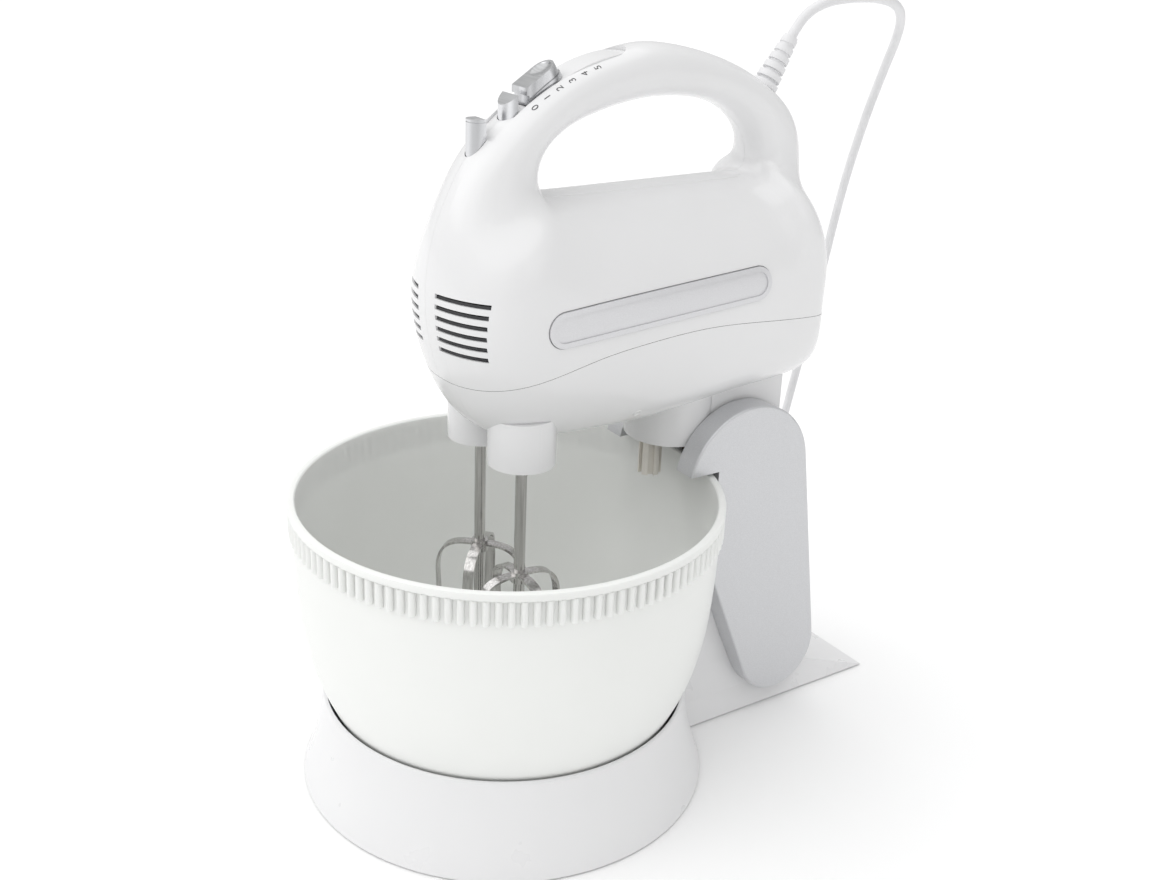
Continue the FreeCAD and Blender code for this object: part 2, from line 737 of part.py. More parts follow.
def hinge_pin():
    half = COVER_FACE_X - COVER_WALL - SEAT_GAP
    return cylinder(PIN_R, 2 * half, (-half, HINGE_Y, HINGE_Z), X_AXIS)


def hinge_bushes():
    half = TONGUE_HALF
    length = 8.0
    inner, outer = PIN_R + RUN_FIT, PIN_R + RUN_FIT + BUSH_WALL
    right = tube(outer, inner, length, (half - length, HINGE_Y, HINGE_Z), X_AXIS)
    return Part.Compound([right, mirrored(right)])


def latch_button():
    rear = COLUMN_REAR_Y
    cap = cylinder(LATCH_R, LATCH_PROUD - SEAT_GAP, (0, rear + LATCH_TRAVEL + SEAT_GAP, LATCH_Z), Y_AXIS)
    stem = cylinder(LATCH_STEM_R, LATCH_TRAVEL + SEAT_GAP + 14, (0, rear - 14, LATCH_Z), Y_AXIS)
    return union([cap, stem])


def spring_body(wire_r, coil_r, length, turns, start, axis):
    """A coil spring as a swept helix, from a point along an axis."""
    pitch = (length - 2 * wire_r) / turns
    helix = Part.makeHelix(pitch, length - 2 * wire_r, coil_r)
    profile = Part.Wire(Part.makeCircle(wire_r, Vector(coil_r, 0, 0), Y_AXIS))
    solid = Part.Wire(helix.Edges).makePipeShell([profile], True, True)
    solid.translate(Vector(0, 0, wire_r))
    solid.rotate(Vector(0, 0, 0), Rotation(Z_AXIS, axis).Axis, math.degrees(Rotation(Z_AXIS, axis).Angle))
    solid.translate(Vector(*start))
    return solid


def latch_spring():
    gap = LATCH_TRAVEL
    return spring_body(0.35, LATCH_STEM_R + 1.2, gap, 3, (0, COLUMN_REAR_Y + 0.15, LATCH_Z), Y_AXIS)


# ---------------------------------------------------------------- cradle
def cradle(form):
    """The carrier that holds the mixer and swings on the hinge."""
    wide = box((-CRADLE_HALF, CRADLE_FRONT_Y, CRADLE_BOTTOM_Z), (CRADLE_HALF, CRADLE_REAR_Y, 230))
    tongue = union([
        cylinder(KNUCKLE_R - 3.0, 2 * TONGUE_HALF, (-TONGUE_HALF, HINGE_Y, HINGE_Z), X_AXIS),
        box((-TONGUE_HALF, HINGE_Y - KNUCKLE_R + 3.0, HINGE_Z),
            (TONGUE_HALF, HINGE_Y + KNUCKLE_R - 3.0, CRADLE_BOTTOM_Z + 2)),
    ])
    body = union([wide, tongue])
    knuckles = cylinder(KNUCKLE_R + 2 * SEAT_GAP, CRADLE_HALF, (TONGUE_HALF, HINGE_Y, HINGE_Z), X_AXIS)
    body = body.cut(knuckles).cut(mirrored(knuckles))
    body = body.cut(form)
    body = body.cut(cylinder(HOOD_R + PART_GAP, 60, (0, HOOD_Y, HOOD_Z - 20)))
    bore_r = PIN_R + RUN_FIT + BUSH_WALL + TIGHT_FIT
    bore = cylinder(bore_r, 2 * TONGUE_HALF, (-TONGUE_HALF, HINGE_Y, HINGE_Z), X_AXIS)
    body = body.cut(bore)
    return body


# ---------------------------------------------------------------- mixer shells
def pill(offset, x_low, x_high):
    """The side panel's outline, extruded along X."""
    r = PANEL_H / 2 + offset
    half = PANEL_L / 2 - PANEL_H / 2
    a, b = Vector(x_low, -half, -r), Vector(x_low, half, -r)
    c, d = Vector(x_low, half, r), Vector(x_low, -half, r)
    wire = Part.Wire([
        Part.makeLine(a, b), Part.Arc(b, Vector(x_low, half + r, 0), c).toShape(),
        Part.makeLine(c, d), Part.Arc(d, Vector(x_low, -half - r, 0), a).toShape()])
    solid = Part.Face(wire).extrude(Vector(x_high - x_low, 0, 0))
    solid.rotate(Vector(0, 0, 0), X_AXIS, PANEL_TILT)
    solid.translate(Vector(0, PANEL_Y, PANEL_Z))
    return solid


def vents(height):
    """Slots in the nose and the rear, both sides, all with their upper edges in the same places."""
    slots = []
    for i in range(VENT_ROWS):
        top = VENT_TOP_Z + VENT_H / 2 - i * VENT_PITCH
        slots.append(box((VENT_X0, -60, top - height), (VENT_X1 - VENT_STEP * i, -8, top)))
        top = REAR_VENT_Z + VENT_H / 2 - i * VENT_PITCH
        slots.append(box((VENT_X0, 158, top - height), (REAR_VENT_X1, 190, top)))
    return Part.Compound(slots + [mirrored(s) for s in slots])


def arc_sector(r_low, r_high, angle_low, angle_high, half_width):
    """A block that follows the handle's arc."""
    ring = cylinder(r_high, 2 * half_width, (-half_width, ARC_Y, ARC_Z), X_AXIS)
    ring = ring.cut(cylinder(r_low, 2 * half_width, (-half_width, ARC_Y, ARC_Z), X_AXIS))
    reach = 2 * r_high
    a, b = math.radians(angle_low), math.radians(angle_high)
    wedge = prism_x([(ARC_Y, ARC_Z), (ARC_Y + reach * math.cos(a), ARC_Z + reach * math.sin(a)),
                     (ARC_Y + reach * math.cos((a + b) / 2), ARC_Z + reach * math.sin((a + b) / 2)),
                     (ARC_Y + reach * math.cos(b), ARC_Z + reach * math.sin(b))], -half_width, half_width)
    return ring.common(wedge)


def track_angles():
    """Rear and front end of the slider's track, in degrees about the arc's centre."""
    rear = math.degrees(math.asin((SLIDER_REACH + SLIDER_FLANGE) / (ARC_R - TRACK_DEPTH)))
    front = math.degrees(math.asin(SLIDER_REACH / (ARC_R - TRACK_DEPTH)))
    return SLIDER_ANGLE - SLIDER_TRAVEL - rear - TRACK_REAR_GAP, SLIDER_ANGLE + front + TRACK_FRONT_GAP


def track_space(r_low, r_high, trim=0.0):
    """The slider's track between two radii, with a round rear end."""
    low, high = track_angles()
    half = TRACK_W / 2
    middle = low + math.degrees(math.asin(half / ARC_R))
    straight = arc_sector(r_low, r_high, middle, high - trim, half - trim)
    end = Part.makeCylinder(half - trim, 30, on_arc(ARC_R - 15, middle), out_axis(middle))
    ring = arc_sector(r_low, r_high, middle - 30, middle + 5, half)
    return union([straight, end.common(ring)])


def out_axis(degrees):
    """Direction away from the arc's centre."""
    a = math.radians(degrees)
    return Vector(0, math.cos(a), math.sin(a))


def channel_space():
    """The shallow channel that runs from the track on past the turbo button."""
    high = track_angles()[1]
    reach = 2 * ARC_R
    rays = [out_axis(a) * reach for a in (high - 1, CHANNEL_END)]
    half = TRACK_W / 2
    wedge = prism_x([(ARC_Y, ARC_Z)] + [(ARC_Y + ray.y, ARC_Z + ray.z) for ray in rays], -half, half)
    return wedge.cut(body_form(CHANNEL_DEPTH))


def turbo_prism(offset, z_low, z_high):
    """The turbo button's D-shaped outline, moved out by offset, between two heights."""
    half, rear, front = TURBO_HALF + offset, TURBO_Y + offset, TURBO_Y - TURBO_D - offset
    a, b = Vector(half, rear, z_low), Vector(-half, rear, z_low)
    wire = Part.Wire([Part.Arc(b, Vector(0, front, z_low), a).toShape(), Part.makeLine(a, b)])
    return Part.Face(wire).extrude(Vector(0, 0, z_high - z_low))


def plunger_prism(offset, z_low, z_high):
    """The eject button's outline, a half circle with short sides, between two heights."""
    r = PLUNGER_R + offset
    rear = PLUNGER_Y + PLUNGER_BACK + offset
    a, b = Vector(r, PLUNGER_Y, z_low), Vector(-r, PLUNGER_Y, z_low)
    c, d = Vector(-r, rear, z_low), Vector(r, rear, z_low)
    wire = Part.Wire([Part.Arc(a, Vector(0, PLUNGER_Y - r, z_low), b).toShape(),
                      Part.makeLine(b, c), Part.makeLine(c, d), Part.makeLine(d, a)])
    return Part.Face(wire).extrude(Vector(0, 0, z_high - z_low))


def upper_shell(form, cavity):
    shell = form.cut(cavity).common(above_parting(PART_GAP / 2))
    shell = shell.cut(track_space(ARC_R - TRACK_DEPTH - TRACK_LINING - 0.1, ARC_R + 12))
    shell = shell.cut(channel_space())
    deep = cavity_skin()
    for side in (pill(0.4, 20, 60), mirrored(pill(0.4, 20, 60))):
        shell = shell.cut(side.cut(deep))
    shell = shell.cut(vents(VENT_H).cut(body_form(VENT_DEPTH))).cut(vents(SLIT_H))
    gland = Part.makeCylinder(GLAND_R0 - 1.0, 20, gland_point(-10), gland_axis())
    turbo = turbo_prism(SEAT_GAP, TURBO_LOW_Z - 8, TURBO_TOP_Z + 5)
    plunger = plunger_prism(SEAT_GAP, PLUNGER_TOP_Z - 50, PLUNGER_TOP_Z + 5)
    return shell.cut(turbo).cut(plunger).cut(gland)


def cavity_skin():
    return body_form(PANEL_DEPTH + PART_GAP)


def body_screw_seat():
    """Height of the screw head's seat in the lower shell."""
    return LOWER_FLOOR_Z - 1.0


def housing_half(shell, side):
    half = box((PART_GAP / 4, -100, 100), (100, 300, 450))
    if side < 0:
        half = mirrored(half)
    return shell.common(half)


def side_panel():
    skin = body_form(-PANEL_PROUD).cut(body_form(PANEL_DEPTH))
    sunk = pill(-PANEL_RIM_W, 20, 60).cut(body_form(-PANEL_SUNK))
    return pill(0.0, 20, 60).common(skin).cut(sunk)


def lower_housing(form, cavity):
    below = form.cut(above_parting(-PART_GAP / 2))
    collars = []
    for side in (-1, 1):
        x = side * BEATER_X
        collars.append(cylinder(COLLAR_R, LOWER_FLOOR_Z + 8 - COLLAR_Z, (x, BEATER_Y, COLLAR_Z)))
    hood = cylinder(HOOD_R, LOWER_FLOOR_Z + 6 - HOOD_Z, (0, HOOD_Y, HOOD_Z))
    outside = union([below] + [c.common(box((-60, -60, 100), (60, 200, 215))) for c in collars] + [hood])
    inside = cavity.common(box((-80, -80, LOWER_FLOOR_Z), (80, 260, 300)))
    shell = outside.cut(inside)
    shell = shell.cut(cylinder(HOOD_R - HOOD_WALL, LOWER_FLOOR_Z - SHELL_WALL - HOOD_Z, (0, HOOD_Y, HOOD_Z)))
    for side in (-1, 1):
        x = side * BEATER_X
        hollow = cylinder(COLLAR_R - SHELL_WALL, LOWER_FLOOR_Z - COLLAR_Z, (x, BEATER_Y, COLLAR_Z + 3))
        shell = shell.cut(hollow)
        shell = shell.cut(cylinder(SOCKET_R + SEAT_GAP, 60, (x, BEATER_Y, COLLAR_Z - 5)))
        shell = shell.cut(cylinder(SOCKET_R + BUSH_WALL + SEAT_GAP, 12, (x, BEATER_Y, LOWER_FLOOR_Z)))
    shell = shell.cut(cylinder(SPINDLE_R + BUSH_WALL + TIGHT_FIT, 30, (0, DRIVE_Y, LOWER_FLOOR_Z - 20)))
    x, y = BODY_SCREW
    hole = cylinder(SCREW_R + SCREW_FIT, 12, (x, y, LOWER_FLOOR_Z - 6))
    recess = cylinder(SCREW_HEAD_R + SCREW_FIT, 12, (x, y, body_screw_seat() - 12))
    return shell.cut(hole).cut(recess)


# ---------------------------------------------------------------- motor and gears
def wheel_outline(teeth, module, backlash=0.25, addendum=0.85, dedendum=1.15):
    """Outline of a spur or worm wheel with straight-sided teeth, a gap facing +X at angle 0."""
    pitch_r = module * teeth / 2
    step = 2 * math.pi / teeth
    half_at_pitch = (math.pi * module / 4 - backlash / 2) / pitch_r
    slope = math.tan(math.radians(20))
    points = []
    for i in range(teeth):
        middle = (i + 0.5) * step
        for height, side in ((-dedendum, -1), (addendum, -1), (addendum, 1), (-dedendum, 1)):
            radius = pitch_r + height * module
            half = half_at_pitch - slope * height * module / pitch_r
            a = middle + side * half
            points.append(Vector(radius * math.cos(a), radius * math.sin(a), 0))
    points.append(points[0])
    return Part.Face(Part.makePolygon(points))


def wheel(teeth, module, thickness, centre, turn=0.0, backlash=0.25):
    """A toothed wheel about a vertical axis."""
    solid = wheel_outline(teeth, module, backlash).extrude(Vector(0, 0, thickness))
    solid.rotate(Vector(0, 0, 0), Z_AXIS, turn)
    solid.translate(Vector(*centre))
    return solid


def worm(y_low, y_high, y_mesh, side):
    """A one-start worm along Y whose thread's middle, on the given side, passes y_mesh."""
    lead = math.pi * MODULE
    turns = math.ceil((y_high - y_low) / lead)
    tip = WORM_PITCH_R + 0.85 * MODULE
    start = y_mesh - lead * math.ceil((y_mesh - y_low) / lead)
    helix = Part.makeHelix(lead, lead * turns, WORM_ROOT_R)
    root_half = 1.15
    tip_half = 0.55
    low = WORM_ROOT_R - 0.4
    corners = [Vector(low, 0, -root_half), Vector(tip, 0, -tip_half), Vector(tip, 0, tip_half),
               Vector(low, 0, root_half)]
    profile = Part.makePolygon(corners + [corners[0]])
    thread = Part.Wire(helix.Edges).makePipeShell([profile], True, True)
    thread.rotate(Vector(0, 0, 0), X_AXIS, -90)
    if side < 0:
        thread.rotate(Vector(0, 0, 0), Y_AXIS, 180)
    thread.translate(Vector(0, start, SHAFT_Z))
    span = box((-20, y_low, SHAFT_Z - 20), (20, y_high, SHAFT_Z + 20))
    core = cylinder(WORM_ROOT_R, y_high - y_low, (0, y_low, SHAFT_Z), Y_AXIS)
    return core.fuse(thread.common(span))


def motor_shaft():
    front, rear = BEATER_Y - 24, REAR_BEARING_Y + BEARING_L
    shaft = cylinder(SHAFT_R, rear - front, (0, front, SHAFT_Z), Y_AXIS)
    first = worm(BEATER_Y - 13, BEATER_Y + 13, BEATER_Y, 1)
    second = worm(TURN_Y - 13, TURN_Y + 11, TURN_Y, -1)
    return union([shaft, first, second])


def armature_core():
    """The rotor's stack of laminations with its slots."""
    body = cylinder(BORE_R - AIR_GAP, STACK_L, (0, MOTOR_Y, SHAFT_Z), Y_AXIS)
    for i in range(11):
        slot = box((-1.0, MOTOR_Y, SHAFT_Z + BORE_R - 5), (1.0, MOTOR_Y + STACK_L, SHAFT_Z + BORE_R))
        slot.rotate(Vector(0, 0, SHAFT_Z), Y_AXIS, 360 / 11 * i)
        body = body.cut(slot)
    return body.cut(cylinder(SHAFT_R, STACK_L, (0, MOTOR_Y, SHAFT_Z), Y_AXIS))


def commutator():
    return tube(COMM_R, SHAFT_R, COMM_L, (0, COMM_Y, SHAFT_Z), Y_AXIS)


def cooling_fan():
    y0 = MOTOR_Y - 12
    hub = tube(7.0, SHAFT_R, 7.0, (0, y0, SHAFT_Z), Y_AXIS)
    disc = tube(FAN_R, SHAFT_R, 1.2, (0, y0 + 6, SHAFT_Z), Y_AXIS)
    blades = []
    for i in range(FAN_BLADES):
        blade = box((-0.6, y0, SHAFT_Z + 6.5), (0.6, y0 + 6.5, SHAFT_Z + FAN_R - 0.5))
        blade.rotate(Vector(0, 0, SHAFT_Z), Y_AXIS, 360 / FAN_BLADES * i)
        blades.append(blade)
    return union([hub, disc] + blades)


def motor_stator():
    low = (-STACK_HALF, MOTOR_Y, SHAFT_Z - STACK_HALF)
    high = (STACK_HALF, MOTOR_Y + STACK_L, SHAFT_Z + STACK_HALF)
    stack = box(low, high)
    stack = stack.makeFillet(8, [e for e in stack.Edges if abs(e.Vertexes[0].Y - e.Vertexes[1].Y) > 1])
    stack = stack.cut(cylinder(BORE_R, STACK_L, (0, MOTOR_Y, SHAFT_Z), Y_AXIS))
    for side in (-1, 1):
        z = SHAFT_Z + side * 18
        window = box((-12, MOTOR_Y, z - 3.5), (12, MOTOR_Y + STACK_L, z + 3.5))
        stack = stack.cut(window)
    return stack


def field_coils():
    coils = []
    for side in (-1, 1):
        z = SHAFT_Z + side * 18.2
        outer = box((-11, MOTOR_Y - 4, z - 2.6), (11, MOTOR_Y + STACK_L + 4, z + 2.6))
        outer = outer.makeFillet(2.0, [e for e in outer.Edges if abs(e.Vertexes[0].Z - e.Vertexes[1].Z) > 1])
        coils.append(outer.cut(cylinder(BORE_R, STACK_L + 8, (0, MOTOR_Y - 4, SHAFT_Z), Y_AXIS)))
    return Part.Compound(coils)


def bearing_places():
    return (BEATER_Y - 24, TURN_Y + 14.5, REAR_BEARING_Y)


def shaft_bearings():
    rings = [tube(BEARING_R, SHAFT_R + RUN_FIT, BEARING_L, (0, y, SHAFT_Z), Y_AXIS) for y in bearing_places()]
    return Part.Compound(rings)


def bearing_block(y, half_x, z_low):
    """A pillar that holds one bearing of the motor's shaft."""
    ring = cylinder(BEARING_R + 2.2, BEARING_L, (0, y, SHAFT_Z), Y_AXIS)
    return union([ring, box((-half_x, y, z_low), (half_x, y + BEARING_L, SHAFT_Z))])


def gear_frame(room):
    """The moulded frame that carries the gears and the front and middle bearings."""
    top = LOWER_FLOOR_Z + SEAT_GAP / 3
    plate = box((-30, BEATER_Y - 24, top), (30, TURN_Y + 21, top + 3))
    front = bearing_block(BEATER_Y - 24, 6, top)
    middle = bearing_block(TURN_Y + 14.5, 6, SPUR_Z + SPUR_T + 3)
    legs = [box((side * 26 - 3, TURN_Y + 14.5, top), (side * 26 + 3, TURN_Y + 20.5, SPUR_Z + SPUR_T + 7))
            for side in (-1, 1)]
    bridge = box((-29, TURN_Y + 14.5, SPUR_Z + SPUR_T + 3), (29, TURN_Y + 20.5, SPUR_Z + SPUR_T + 7))
    web_outline = [
        (BEATER_Y - 22, SHAFT_Z - 4),
        (BEATER_Y - 22, top + 4),
        (BEATER_Y + 4, top),
        (BEATER_Y + 4, top + 9),
        (BEATER_Y - 13, top + 22),
        (BEATER_Y - 18, SHAFT_Z - 8),
    ]
    web = prism_x(web_outline, -WEB_T / 2, WEB_T / 2)
    frame = union([plate, front, middle, bridge, web] + legs)
    for side in (-1, 1):
        seat = cylinder(SOCKET_R + BUSH_WALL + TIGHT_FIT, 12, (side * BEATER_X, BEATER_Y, top - 2))
        frame = frame.cut(seat)
    for y in bearing_places():
        frame = frame.cut(cylinder(BEARING_R + TIGHT_FIT, BEARING_L, (0, y, SHAFT_Z), Y_AXIS))
    frame = frame.cut(cylinder(SCREW_R + TIGHT_FIT, 5, (*BODY_SCREW, top - 2)))
    frame = frame.cut(cylinder(SPINDLE_R + RUN_FIT, 12, (-BEATER_X, TURN_Y, top - 2)))
    frame = frame.cut(cylinder(SPINDLE_R + BUSH_WALL + TIGHT_FIT, 5, (0, DRIVE_Y, top - 2)))
    frame = frame.cut(cylinder(SPINDLE_R + SEAT_GAP, 12, (0, DRIVE_Y, SPUR_Z + SPUR_T)))
    return frame.common(room)


def spindle_bushes():
    top = LOWER_FLOOR_Z + SEAT_GAP / 3
    bushes = [tube(SOCKET_R + BUSH_WALL, SOCKET_R + RUN_FIT, 3.0, (side * BEATER_X, BEATER_Y, top))
              for side in (-1, 1)]
    low = LOWER_FLOOR_Z - SHELL_WALL
    bushes.append(tube(SPINDLE_R + BUSH_WALL, SPINDLE_R + RUN_FIT, top + 3 - low, (0, DRIVE_Y, low)))
    return Part.Compound(bushes)


def motor_bracket(room):
    """The rear bracket with the rear bearing and the brush holders' arms."""
    y = REAR_BEARING_Y
    block = bearing_block(y, 8, LOWER_FLOOR_Z + SEAT_GAP / 3)
    arms = []
    for side in (-1, 1):
        arms.append(box((side * 24 - 3, MOTOR_Y + STACK_L + 0.1, SHAFT_Z - 5),
                        (side * 24 + 3, y + 1, SHAFT_Z + 5)))
    bar = box((-27, y, SHAFT_Z - 6), (27, y + BEARING_L, SHAFT_Z + 6))
    bracket = union([block, bar] + arms)
    bracket = bracket.cut(cylinder(BEARING_R + TIGHT_FIT, BEARING_L, (0, y, SHAFT_Z), Y_AXIS))
    hole = box((-40, BRUSH_Y - 3.1, SHAFT_Z - 3.1), (40, BRUSH_Y + 3.1, SHAFT_Z + 3.1))
    return bracket.cut(hole).common(room)


def brush_holders():
    holders = []
    for side in (-1, 1):
        x0, x1 = sorted((side * 13, side * 29))
        outer = box((x0, BRUSH_Y - 3, SHAFT_Z - 3), (x1, BRUSH_Y + 3, SHAFT_Z + 3))
        x2, x3 = sorted((side * 12, side * 28))
        inner = box((x2, BRUSH_Y - 2.2, SHAFT_Z - 2.2), (x3, BRUSH_Y + 2.2, SHAFT_Z + 2.2))
        holders.append(outer.cut(inner))
    return Part.Compound(holders)


def carbon_brushes():
    brushes = []
    for side in (-1, 1):
        x0, x1 = sorted((side * (COMM_R + 0.1), side * 22))
        block = box((x0, BRUSH_Y - 2, SHAFT_Z - 2), (x1, BRUSH_Y + 2, SHAFT_Z + 2))
        brushes.append(block.cut(cylinder(COMM_R + 0.1, 12, (0, BRUSH_Y - 6, SHAFT_Z), Y_AXIS)))
    return Part.Compound(brushes)


def beater_drive(side):
    """A worm wheel on the hollow socket that holds one beater."""
    x = side * BEATER_X
    facing = 180.0 if side > 0 else 180.0 / WHEEL_TEETH
    gear = wheel(WHEEL_TEETH, MODULE, WHEEL_T, (x, BEATER_Y, SHAFT_Z - WHEEL_T / 2), facing)
    low = COLLAR_Z + 3.5
    socket = cylinder(SOCKET_R, SHAFT_Z + WHEEL_T / 2 + 4 - low, (x, BEATER_Y, low))
    flange = cylinder(SOCKET_R + 2.0, 1.2, (x, BEATER_Y, LOWER_FLOOR_Z + 3 + 2 * SEAT_GAP))
    drive = union([gear, socket, flange])
    return drive.cut(cylinder(ROD_R + RUN_FIT, 80, (x, BEATER_Y, low - 1)))


def turn_wheel():
    """The worm wheel and small gear that take the motor's turn to the bowl pinion."""
    x = -BEATER_X
    gear = wheel(WHEEL_TEETH, MODULE, WHEEL_T, (x, TURN_Y, SHAFT_Z - WHEEL_T / 2), 0.0)
    low = LOWER_FLOOR_Z + 2.2
    spindle = cylinder(SPINDLE_R, SHAFT_Z + WHEEL_T / 2 + 4 - low, (x, TURN_Y, low))
    small = wheel(SPUR_SMALL, SPUR_MODULE, SPUR_T, (x, TURN_Y, SPUR_Z), spur_angle())
    sleeve = cylinder(SPINDLE_R + 2.5, SHAFT_Z - SPUR_Z - SPUR_T, (x, TURN_Y, SPUR_Z + SPUR_T))
    return union([gear, spindle, small, sleeve])


def spur_angle():
    """Direction from the turn wheel to the drive pinion, in degrees."""
    return math.degrees(math.atan2(DRIVE_Y - TURN_Y, BEATER_X))


def drive_pinion():
    """The bowl pinion: a grooved tip under the hood, its spindle and its gear."""
    half_step = 180.0 / SPUR_LARGE
    gear = wheel(SPUR_LARGE, SPUR_MODULE, SPUR_T, (0, DRIVE_Y, SPUR_Z), spur_angle() + 180 + half_step)
    spindle = cylinder(SPINDLE_R, SPUR_Z + SPUR_T + 6 - PINION_TOP_Z, (0, DRIVE_Y, PINION_TOP_Z))
    tip = cylinder(PINION_R, PINION_TOP_Z - PINION_Z, (0, DRIVE_Y, PINION_Z))
    for i in range(PINION_GROOVES):
        groove = box((-PINION_GROOVE_W / 2, DRIVE_Y + PINION_R - PINION_GROOVE_T, PINION_Z),
                     (PINION_GROOVE_W / 2, DRIVE_Y + PINION_R + 1, PINION_TOP_Z - 5))
        groove.rotate(Vector(0, DRIVE_Y, 0), Z_AXIS, 360 / PINION_GROOVES * i)
        tip = tip.cut(groove)
    return union([gear, spindle, tip])


# ---------------------------------------------------------------- beaters
def whisk_loop():
    """One closed loop of flat strip in the XZ plane, about x = 0."""
    def outline(inset):
        r = WHISK_R - inset
        top, low = WHISK_TOP_Z - inset, WHISK_Z + inset
        right = [
            (0, top),
            (r * 0.42, top - 0.3),
            (r * 0.8, top - 3.5),
            (r * 0.97, top - 10.0),
            (r, top - 24.0),
            (r * 0.86, low + 30.0),
            (r * 0.5, low + 10.0),
            (r * 0.22, low + 1.5),
            (0, low),
        ]
        left = [(-x, z) for x, z in right[-2:0:-1]]
        curve = Part.BSplineCurve()
        curve.interpolate([Vector(x, -STRIP_W / 2, z) for x, z in right + left], True)
        return Part.Face(Part.Wire(curve.toShape()))
    ring = outline(0.0).extrude(Vector(0, STRIP_W, 0))
    return ring.cut(outline(STRIP_T).extrude(Vector(0, STRIP_W, 0)))


def beater(side):
    """A rod with two crossed loops of strip, which end in a hub and a foot."""
    hub = cylinder(HUB_KNOB_R, 6, (0, 0, WHISK_TOP_Z - 4.5))
    foot = cylinder(HUB_KNOB_R, 4, (0, 0, WHISK_Z - 0.5))
    core = cylinder(HUB_KNOB_R - 1.0, WHISK_TOP_Z, (0, 0, WHISK_Z - 5))
    loop = whisk_loop().cut(core)
    cross = loop.copy()
    cross.rotate(Vector(0, 0, 0), Z_AXIS, 90)
    rod = cylinder(ROD_R, SHAFT_Z - 4 - WHISK_Z, (0, 0, WHISK_Z))
    ears = box((-ROD_R - 2, -0.8, COLLAR_Z - 6), (ROD_R + 2, 0.8, COLLAR_Z - 1))
    solid = union([hub, foot, loop, cross, rod, ears])
    solid.rotate(Vector(0, 0, 0), Z_AXIS, 0 if side > 0 else 45)
    solid.translate(Vector(side * BEATER_X, BEATER_Y, 0))
    return solid


# ---------------------------------------------------------------- handle switches
def slider_track():
    """The lining of the slider's groove."""
    floor = ARC_R - TRACK_DEPTH
    return track_space(floor - TRACK_LINING, floor, 0.1)


def slider_block(offset, r_low, r_high):
    """The slider's outline with its round rear, moved out by offset, between two radii."""
    half = SLIDER_W / 2 + offset
    back = SLIDER_REACH - SLIDER_W / 2
    a, b = Vector(-2 * SLIDER_REACH, -half, 0), Vector(back, -half, 0)
    c, d = Vector(back, half, 0), Vector(-2 * SLIDER_REACH, half, 0)
    wire = Part.Wire([Part.makeLine(a, b), Part.Arc(b, Vector(back + half, 0, 0), c).toShape(),
                      Part.makeLine(c, d), Part.makeLine(d, a)])
    solid = Part.Face(wire).extrude(Vector(0, 0, r_high))
    along = Vector(0, math.sin(math.radians(SLIDER_ANGLE)), -math.cos(math.radians(SLIDER_ANGLE)))
    turn = Rotation(along, Vector(-1, 0, 0), out_axis(SLIDER_ANGLE), "ZXY")
    solid.Placement = Placement(on_arc(0, 0), turn)
    return solid.cut(cylinder(r_low, 60, (-30, ARC_Y, ARC_Z), X_AXIS))


def speed_slider():
    """A block with a flat top, an upright front over an undercut, and a round dimple."""
    low = ARC_R - TRACK_DEPTH + SEAT_GAP
    top = ARC_R + SLIDER_H
    foot = slider_block(SLIDER_FLANGE, low, top)
    foot = foot.common(cylinder(low + SLIDER_FLANGE_H, 60, (-30, ARC_Y, ARC_Z), X_AXIS))
    body = union([slider_block(0.0, low, top), foot])
    nose = on_arc(top, SLIDER_ANGLE)
    a = math.radians(SLIDER_ANGLE)
    nose -= Vector(0, math.sin(a), -math.cos(a)) * SLIDER_REACH
    body = body.cut(box((-20, nose.y - 60, 250), (20, nose.y, 400)))
    body = body.cut(box((-20, nose.y - 1, 250), (20, nose.y + SLIDER_UNDERCUT, nose.z - SLIDER_NOSE)))
    ball = (DIMPLE_R ** 2 + DIMPLE_DEPTH ** 2) / (2 * DIMPLE_DEPTH)
    back = SLIDER_REACH - SLIDER_W / 2
    centre = on_arc(top + ball - DIMPLE_DEPTH, SLIDER_ANGLE)
    centre += Vector(0, math.sin(a), -math.cos(a)) * back
    return body.cut(Part.makeSphere(ball, centre))


def turbo_button():
    """An upright D-shaped button whose top falls towards the front."""
    body = turbo_prism(0.0, TURBO_LOW_Z, TURBO_TOP_Z)
    drop = TURBO_D * math.tan(math.radians(TURBO_SLANT)) * 2
    front = TURBO_Y - 2 * TURBO_D
    return body.cut(prism_x([(TURBO_Y, TURBO_TOP_Z), (front, TURBO_TOP_Z - drop), (front, TURBO_TOP_Z + 1),
                             (TURBO_Y, TURBO_TOP_Z + 1)], -10, 10))


def turbo_middle():
    return TURBO_Y - TURBO_D / 2


def turbo_spring():
    start = (0, turbo_middle(), TURBO_LOW_Z - TURBO_SPRING_L - 0.1)
    return spring_body(0.3, TURBO_SPRING_R, TURBO_SPRING_L, 3, start, Z_AXIS)


def eject_plunger():
    """The eject button with its fine groove below the top, and its long shank."""
    neck = PLUNGER_TOP_Z - PLUNGER_CAP_H - PLUNGER_GROOVE
    return union([
        plunger_prism(0.0, PLUNGER_TOP_Z - PLUNGER_L, neck),
        plunger_prism(-PLUNGER_GROOVE, neck, neck + PLUNGER_GROOVE),
        plunger_prism(0.0, neck + PLUNGER_GROOVE, PLUNGER_TOP_Z)])


def eject_spring():
    low = PLUNGER_TOP_Z - PLUNGER_L - EJECT_SPRING_L - 0.1
    return spring_body(0.5, EJECT_SPRING_R, EJECT_SPRING_L, 5, (0, EJECT_SPRING_Y, low), Z_AXIS)


